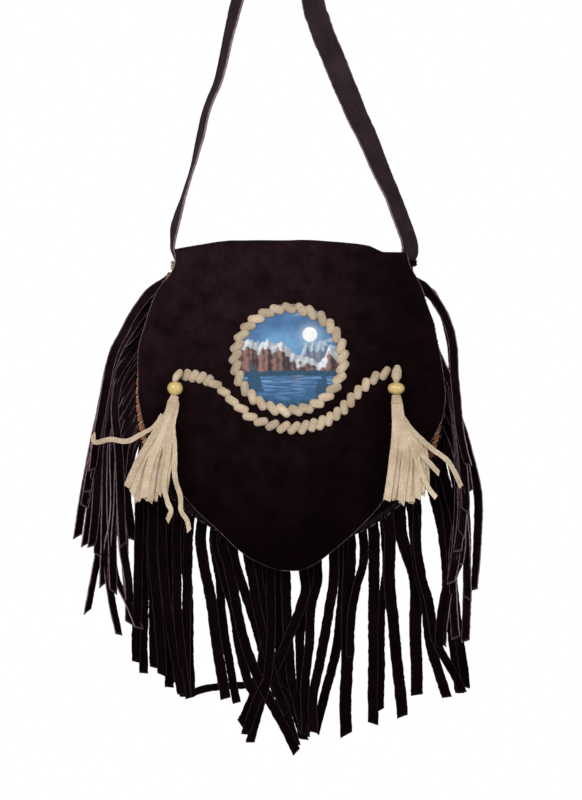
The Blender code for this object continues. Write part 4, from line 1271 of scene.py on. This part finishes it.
# Outlines in the photograph: core (column, row, half width), fan (row, left, right), ends and strays
TASSELS = {
    "left": {
        "core": [(175.0, 395.0, 4.0), (174.6, 399.0, 4.6), (174.0, 402.0, 6.0), (173.2, 407.0, 6.2),
                 (171.6, 414.0, 6.6), (168.8, 422.0, 7.0), (165.5, 430.0, 5.0)],
        "fan": [(404, 168.0, 180.0), (411, 165.2, 179.3), (421, 160.0, 177.0), (440, 148.0, 174.5),
                (463, 134.5, 172.5)],
        "ends": [(129, 489), (133, 494), (139, 500), (144, 497), (150, 503), (155, 499), (160, 497),
                 (165, 492)],
        "strays": [
            [(163, 414), (155, 426), (142, 434), (128, 441), (112, 439), (97, 442), (94.5, 434)],
            [(171, 418), (170, 450), (165, 480), (168, 500), (172, 510), (168, 520)],
            [(174, 418), (175.5, 450), (175.5, 475), (181, 495), (182, 510), (188, 520), (190, 530)],
        ],
    },
    "right": {
        "core": [(395.6, 394.0, 4.2), (395.8, 398.0, 4.8), (396.2, 402.0, 5.6), (397.0, 410.0, 6.1),
                 (397.8, 418.0, 6.8), (399.5, 426.0, 7.0), (402.5, 434.0, 5.0)],
        "fan": [(404, 391.0, 402.0), (413, 391.0, 403.5), (422, 391.0, 405.5), (432, 390.5, 413.0),
                (445, 390.0, 425.0), (463, 388.0, 428.5)],
        "ends": [(386, 500), (391, 497), (396, 500), (401, 502), (406, 499), (411, 501), (416, 498),
                 (421, 494), (425, 491)],
        "strays": [
            [(402, 416), (412, 430), (428, 446), (445, 459), (452, 469), (460, 486)],
            [(402, 424), (414, 446), (427, 461), (438, 473)],
            [(404, 424), (412, 450), (426, 484), (435, 497)],
        ],
    },
}
# Front and back strands of a fan, and the strays
STRAND_WIDTHS = ((-1, 0.0066), (1, 0.0056))
STRAY_WIDTH = 0.0044
STRAND_THICKNESS = 0.0010
# First width of a strand against its full one
FAN_NECK, STRAY_NECK = 0.42, 0.6


def fan_route(fan, share, end):
    """A strand's way down the fan at a share of its width, and on to its end."""
    route = []
    for rank, (row, left, right) in enumerate(fan):
        inset = min(1.8 + 0.5 * rank, 3.4)
        route.append((left + inset + (right - left - 2 * inset) * share, row))
    return Line(through([seen(*place) for place in (*route, end)], 8))


def make_tassel(side, x, bead_length):
    layout = TASSELS[side]
    centre = bead_centre(x)
    middle_y = centre[1]
    skin = Skin()
    core, radii = [], []
    for column, row, half in layout["core"]:
        px, pz = seen(column, row)
        core.append((px, middle_y, pz))
        radii.append(half * PIXEL)
    core[0] = (x, middle_y, centre[2] - bead_length / 2 - CLEARANCE)
    skin.add_tube(through(core, 6), along_curve(radii, 6), 26, 0.85, 0.55)
    ends = layout["ends"]
    for i, (column, row) in enumerate(ends):
        for layer, width in STRAND_WIDTHS:
            end = (column + rng.uniform(-1.2, 1.2), row + rng.uniform(-4, 2))
            y = middle_y + layer * 0.0014 + 0.0012 * ((i % 3) - 1)
            line = fan_route(layout["fan"], i / (len(ends) - 1), end)
            wide = width * rng.uniform(0.85, 1.1)
            strand(skin, line, middle_y + layer * 0.0034, y, wide, rng.uniform(0, 90), FAN_NECK)
    for k, route in enumerate(layout["strays"]):
        line = Line(through([seen(*place) for place in route], 12))
        strand(skin, line, middle_y - 0.0026, middle_y - 0.0045 + 0.0008 * k, STRAY_WIDTH, 17.0 + k,
               STRAY_NECK)
    dress(skin, "tassel_" + side + "_suede", "tassel_" + side, "tan_suede_lace", "tassel_" + side)


# Stage

CAMERA_DISTANCE = 2.2
FRAME_HEIGHT = 0.72
FRAME_CENTRE = (0.0090, -0.0120, -0.4662)
FLOOR_Z, FLOOR_RADIUS = -1.30, 9.0
# The floor fades to white between these distances from its middle
FADE_FROM, FADE_TO = 0.6, 2.2
WORLD_STRENGTH = 0.45
LIGHT_AIM = (0.0, 0.0, -0.45)
# name, place, size and power of each lamp
LAMPS = (
    ("key", (-0.9, -1.7, 0.55), 1.1, 26.0),
    ("fill", (1.3, -1.5, -0.2), 1.3, 12.0),
    ("back", (0.4, 1.8, 0.4), 1.4, 16.0),
)


def white_to_camera(nodes, links):
    """1 where the camera, a reflection or glass sees the surface, and 0 where light does."""
    path = nodes.new("ShaderNodeLightPath").outputs
    seen_directly = math_node(nodes, links, "MAXIMUM", path["Is Camera Ray"], path["Is Glossy Ray"])
    return math_node(nodes, links, "MAXIMUM", seen_directly, path["Is Transmission Ray"])


def make_world(strength):
    world = bpy.data.worlds.new("studio")
    bpy.context.scene.world = world
    world.use_nodes = True
    nodes, links = world.node_tree.nodes, world.node_tree.links
    lit, white = nodes["Background"], nodes.new("ShaderNodeBackground")
    lit.inputs["Color"].default_value = (1.0, 1.0, 1.0, 1.0)
    lit.inputs["Strength"].default_value = strength
    white.inputs["Strength"].default_value = 1.0
    white.inputs["Color"].default_value = (1.0, 1.0, 1.0, 1.0)
    both = nodes.new("ShaderNodeMixShader")
    links.new(white_to_camera(nodes, links), both.inputs["Fac"])
    links.new(lit.outputs["Background"], both.inputs[1])
    links.new(white.outputs["Background"], both.inputs[2])
    links.new(both.outputs["Shader"], nodes["World Output"].inputs["Surface"])


def make_floor():
    """A pale floor that fades to the white backdrop away from the object."""
    made, nodes, links, shader = new_material("pale_floor")
    shader.inputs["Base Color"].default_value = (0.86, 0.86, 0.86, 1.0)
    shader.inputs["Roughness"].default_value = 0.8
    white = nodes.new("ShaderNodeEmission")
    white.inputs["Strength"].default_value = 1.0
    place = nodes.new("ShaderNodeTexCoord").outputs["Object"]
    away = nodes.new("ShaderNodeVectorMath")
    away.operation = "LENGTH"
    links.new(place, away.inputs[0])
    reach = nodes.new("ShaderNodeMapRange")
    reach.inputs["From Min"].default_value = FADE_FROM
    reach.inputs["From Max"].default_value = FADE_TO
    links.new(away.outputs["Value"], reach.inputs["Value"])
    seen_white = white_to_camera(nodes, links)
    share = math_node(nodes, links, "MULTIPLY", seen_white, reach.outputs["Result"])
    both = nodes.new("ShaderNodeMixShader")
    links.new(share, both.inputs["Fac"])
    links.new(shader.outputs["BSDF"], both.inputs[1])
    links.new(white.outputs["Emission"], both.inputs[2])
    links.new(both.outputs["Shader"], nodes["Material Output"].inputs["Surface"])
    cage = bmesh.new()
    bmesh.ops.create_circle(cage, cap_ends=True, segments=64, radius=FLOOR_RADIUS)
    mesh = bpy.data.meshes.new("studio_floor")
    cage.to_mesh(mesh)
    cage.free()
    mesh.materials.append(made)
    floor = bpy.data.objects.new("studio_floor", mesh)
    floor.location = (0.0, 0.0, FLOOR_Z)
    bpy.context.scene.collection.objects.link(floor)


def make_lamp(name, place, size, energy):
    lamp = bpy.data.lights.new(name, "AREA")
    lamp.size = size
    lamp.energy = energy
    obj = bpy.data.objects.new(name, lamp)
    obj.location = place
    obj.rotation_euler = (Vector(LIGHT_AIM) - Vector(place)).to_track_quat("-Z", "Y").to_euler()
    bpy.context.scene.collection.objects.link(obj)


def make_camera():
    data = bpy.data.cameras.new("photo_camera")
    data.sensor_fit = "VERTICAL"
    data.sensor_height = 24.0
    data.lens = data.sensor_height / 2 / (FRAME_HEIGHT / 2 / CAMERA_DISTANCE)
    camera = bpy.data.objects.new("photo_camera", data)
    x, y, z = FRAME_CENTRE
    camera.location = (x, y - CAMERA_DISTANCE, z)
    camera.rotation_euler = (math.radians(90), 0.0, 0.0)
    bpy.context.scene.collection.objects.link(camera)
    bpy.context.scene.camera = camera


def make_stage():
    make_world(WORLD_STRENGTH)
    make_floor()
    for lamp in LAMPS:
        make_lamp(*lamp)
    make_camera()
    bpy.context.scene.view_settings.view_transform = "Standard"


pouch_seam = seam_line()
make_flap()
make_front_panel(pouch_seam)
make_back_panel()
# The side strips' tones paint shade: the left strips darken from root to end and the right ones are dark
# throughout, as the flap darkens downwards and to the right
make_side_fringe("fringe_left_strips", "fringe_left", pouch_seam, LEFT_ROUTES, False, 1, (0.95, 0.03))
make_side_fringe("fringe_right_strips", "fringe_right", pouch_seam, RIGHT_ROUTES, True, -1, (0.30, 0.25))
make_bottom_fringe(pouch_seam)
make_strap()
make_ties()
make_medallion_disc()
make_medallion_lace()
make_swag_lace()
make_seam_lace(pouch_seam)
for side, bead_x, diameter, length in (
        ("left", BEAD_LEFT_X, BEAD_DIAMETER, BEAD_LENGTH),
        ("right", BEAD_RIGHT_X, BEAD_DIAMETER * 1.09, BEAD_LENGTH * 0.86)):
    make_bead(side, bead_x, diameter, length)
    make_thong(side, bead_x, length)
    make_tassel(side, bead_x, length)
make_stage()
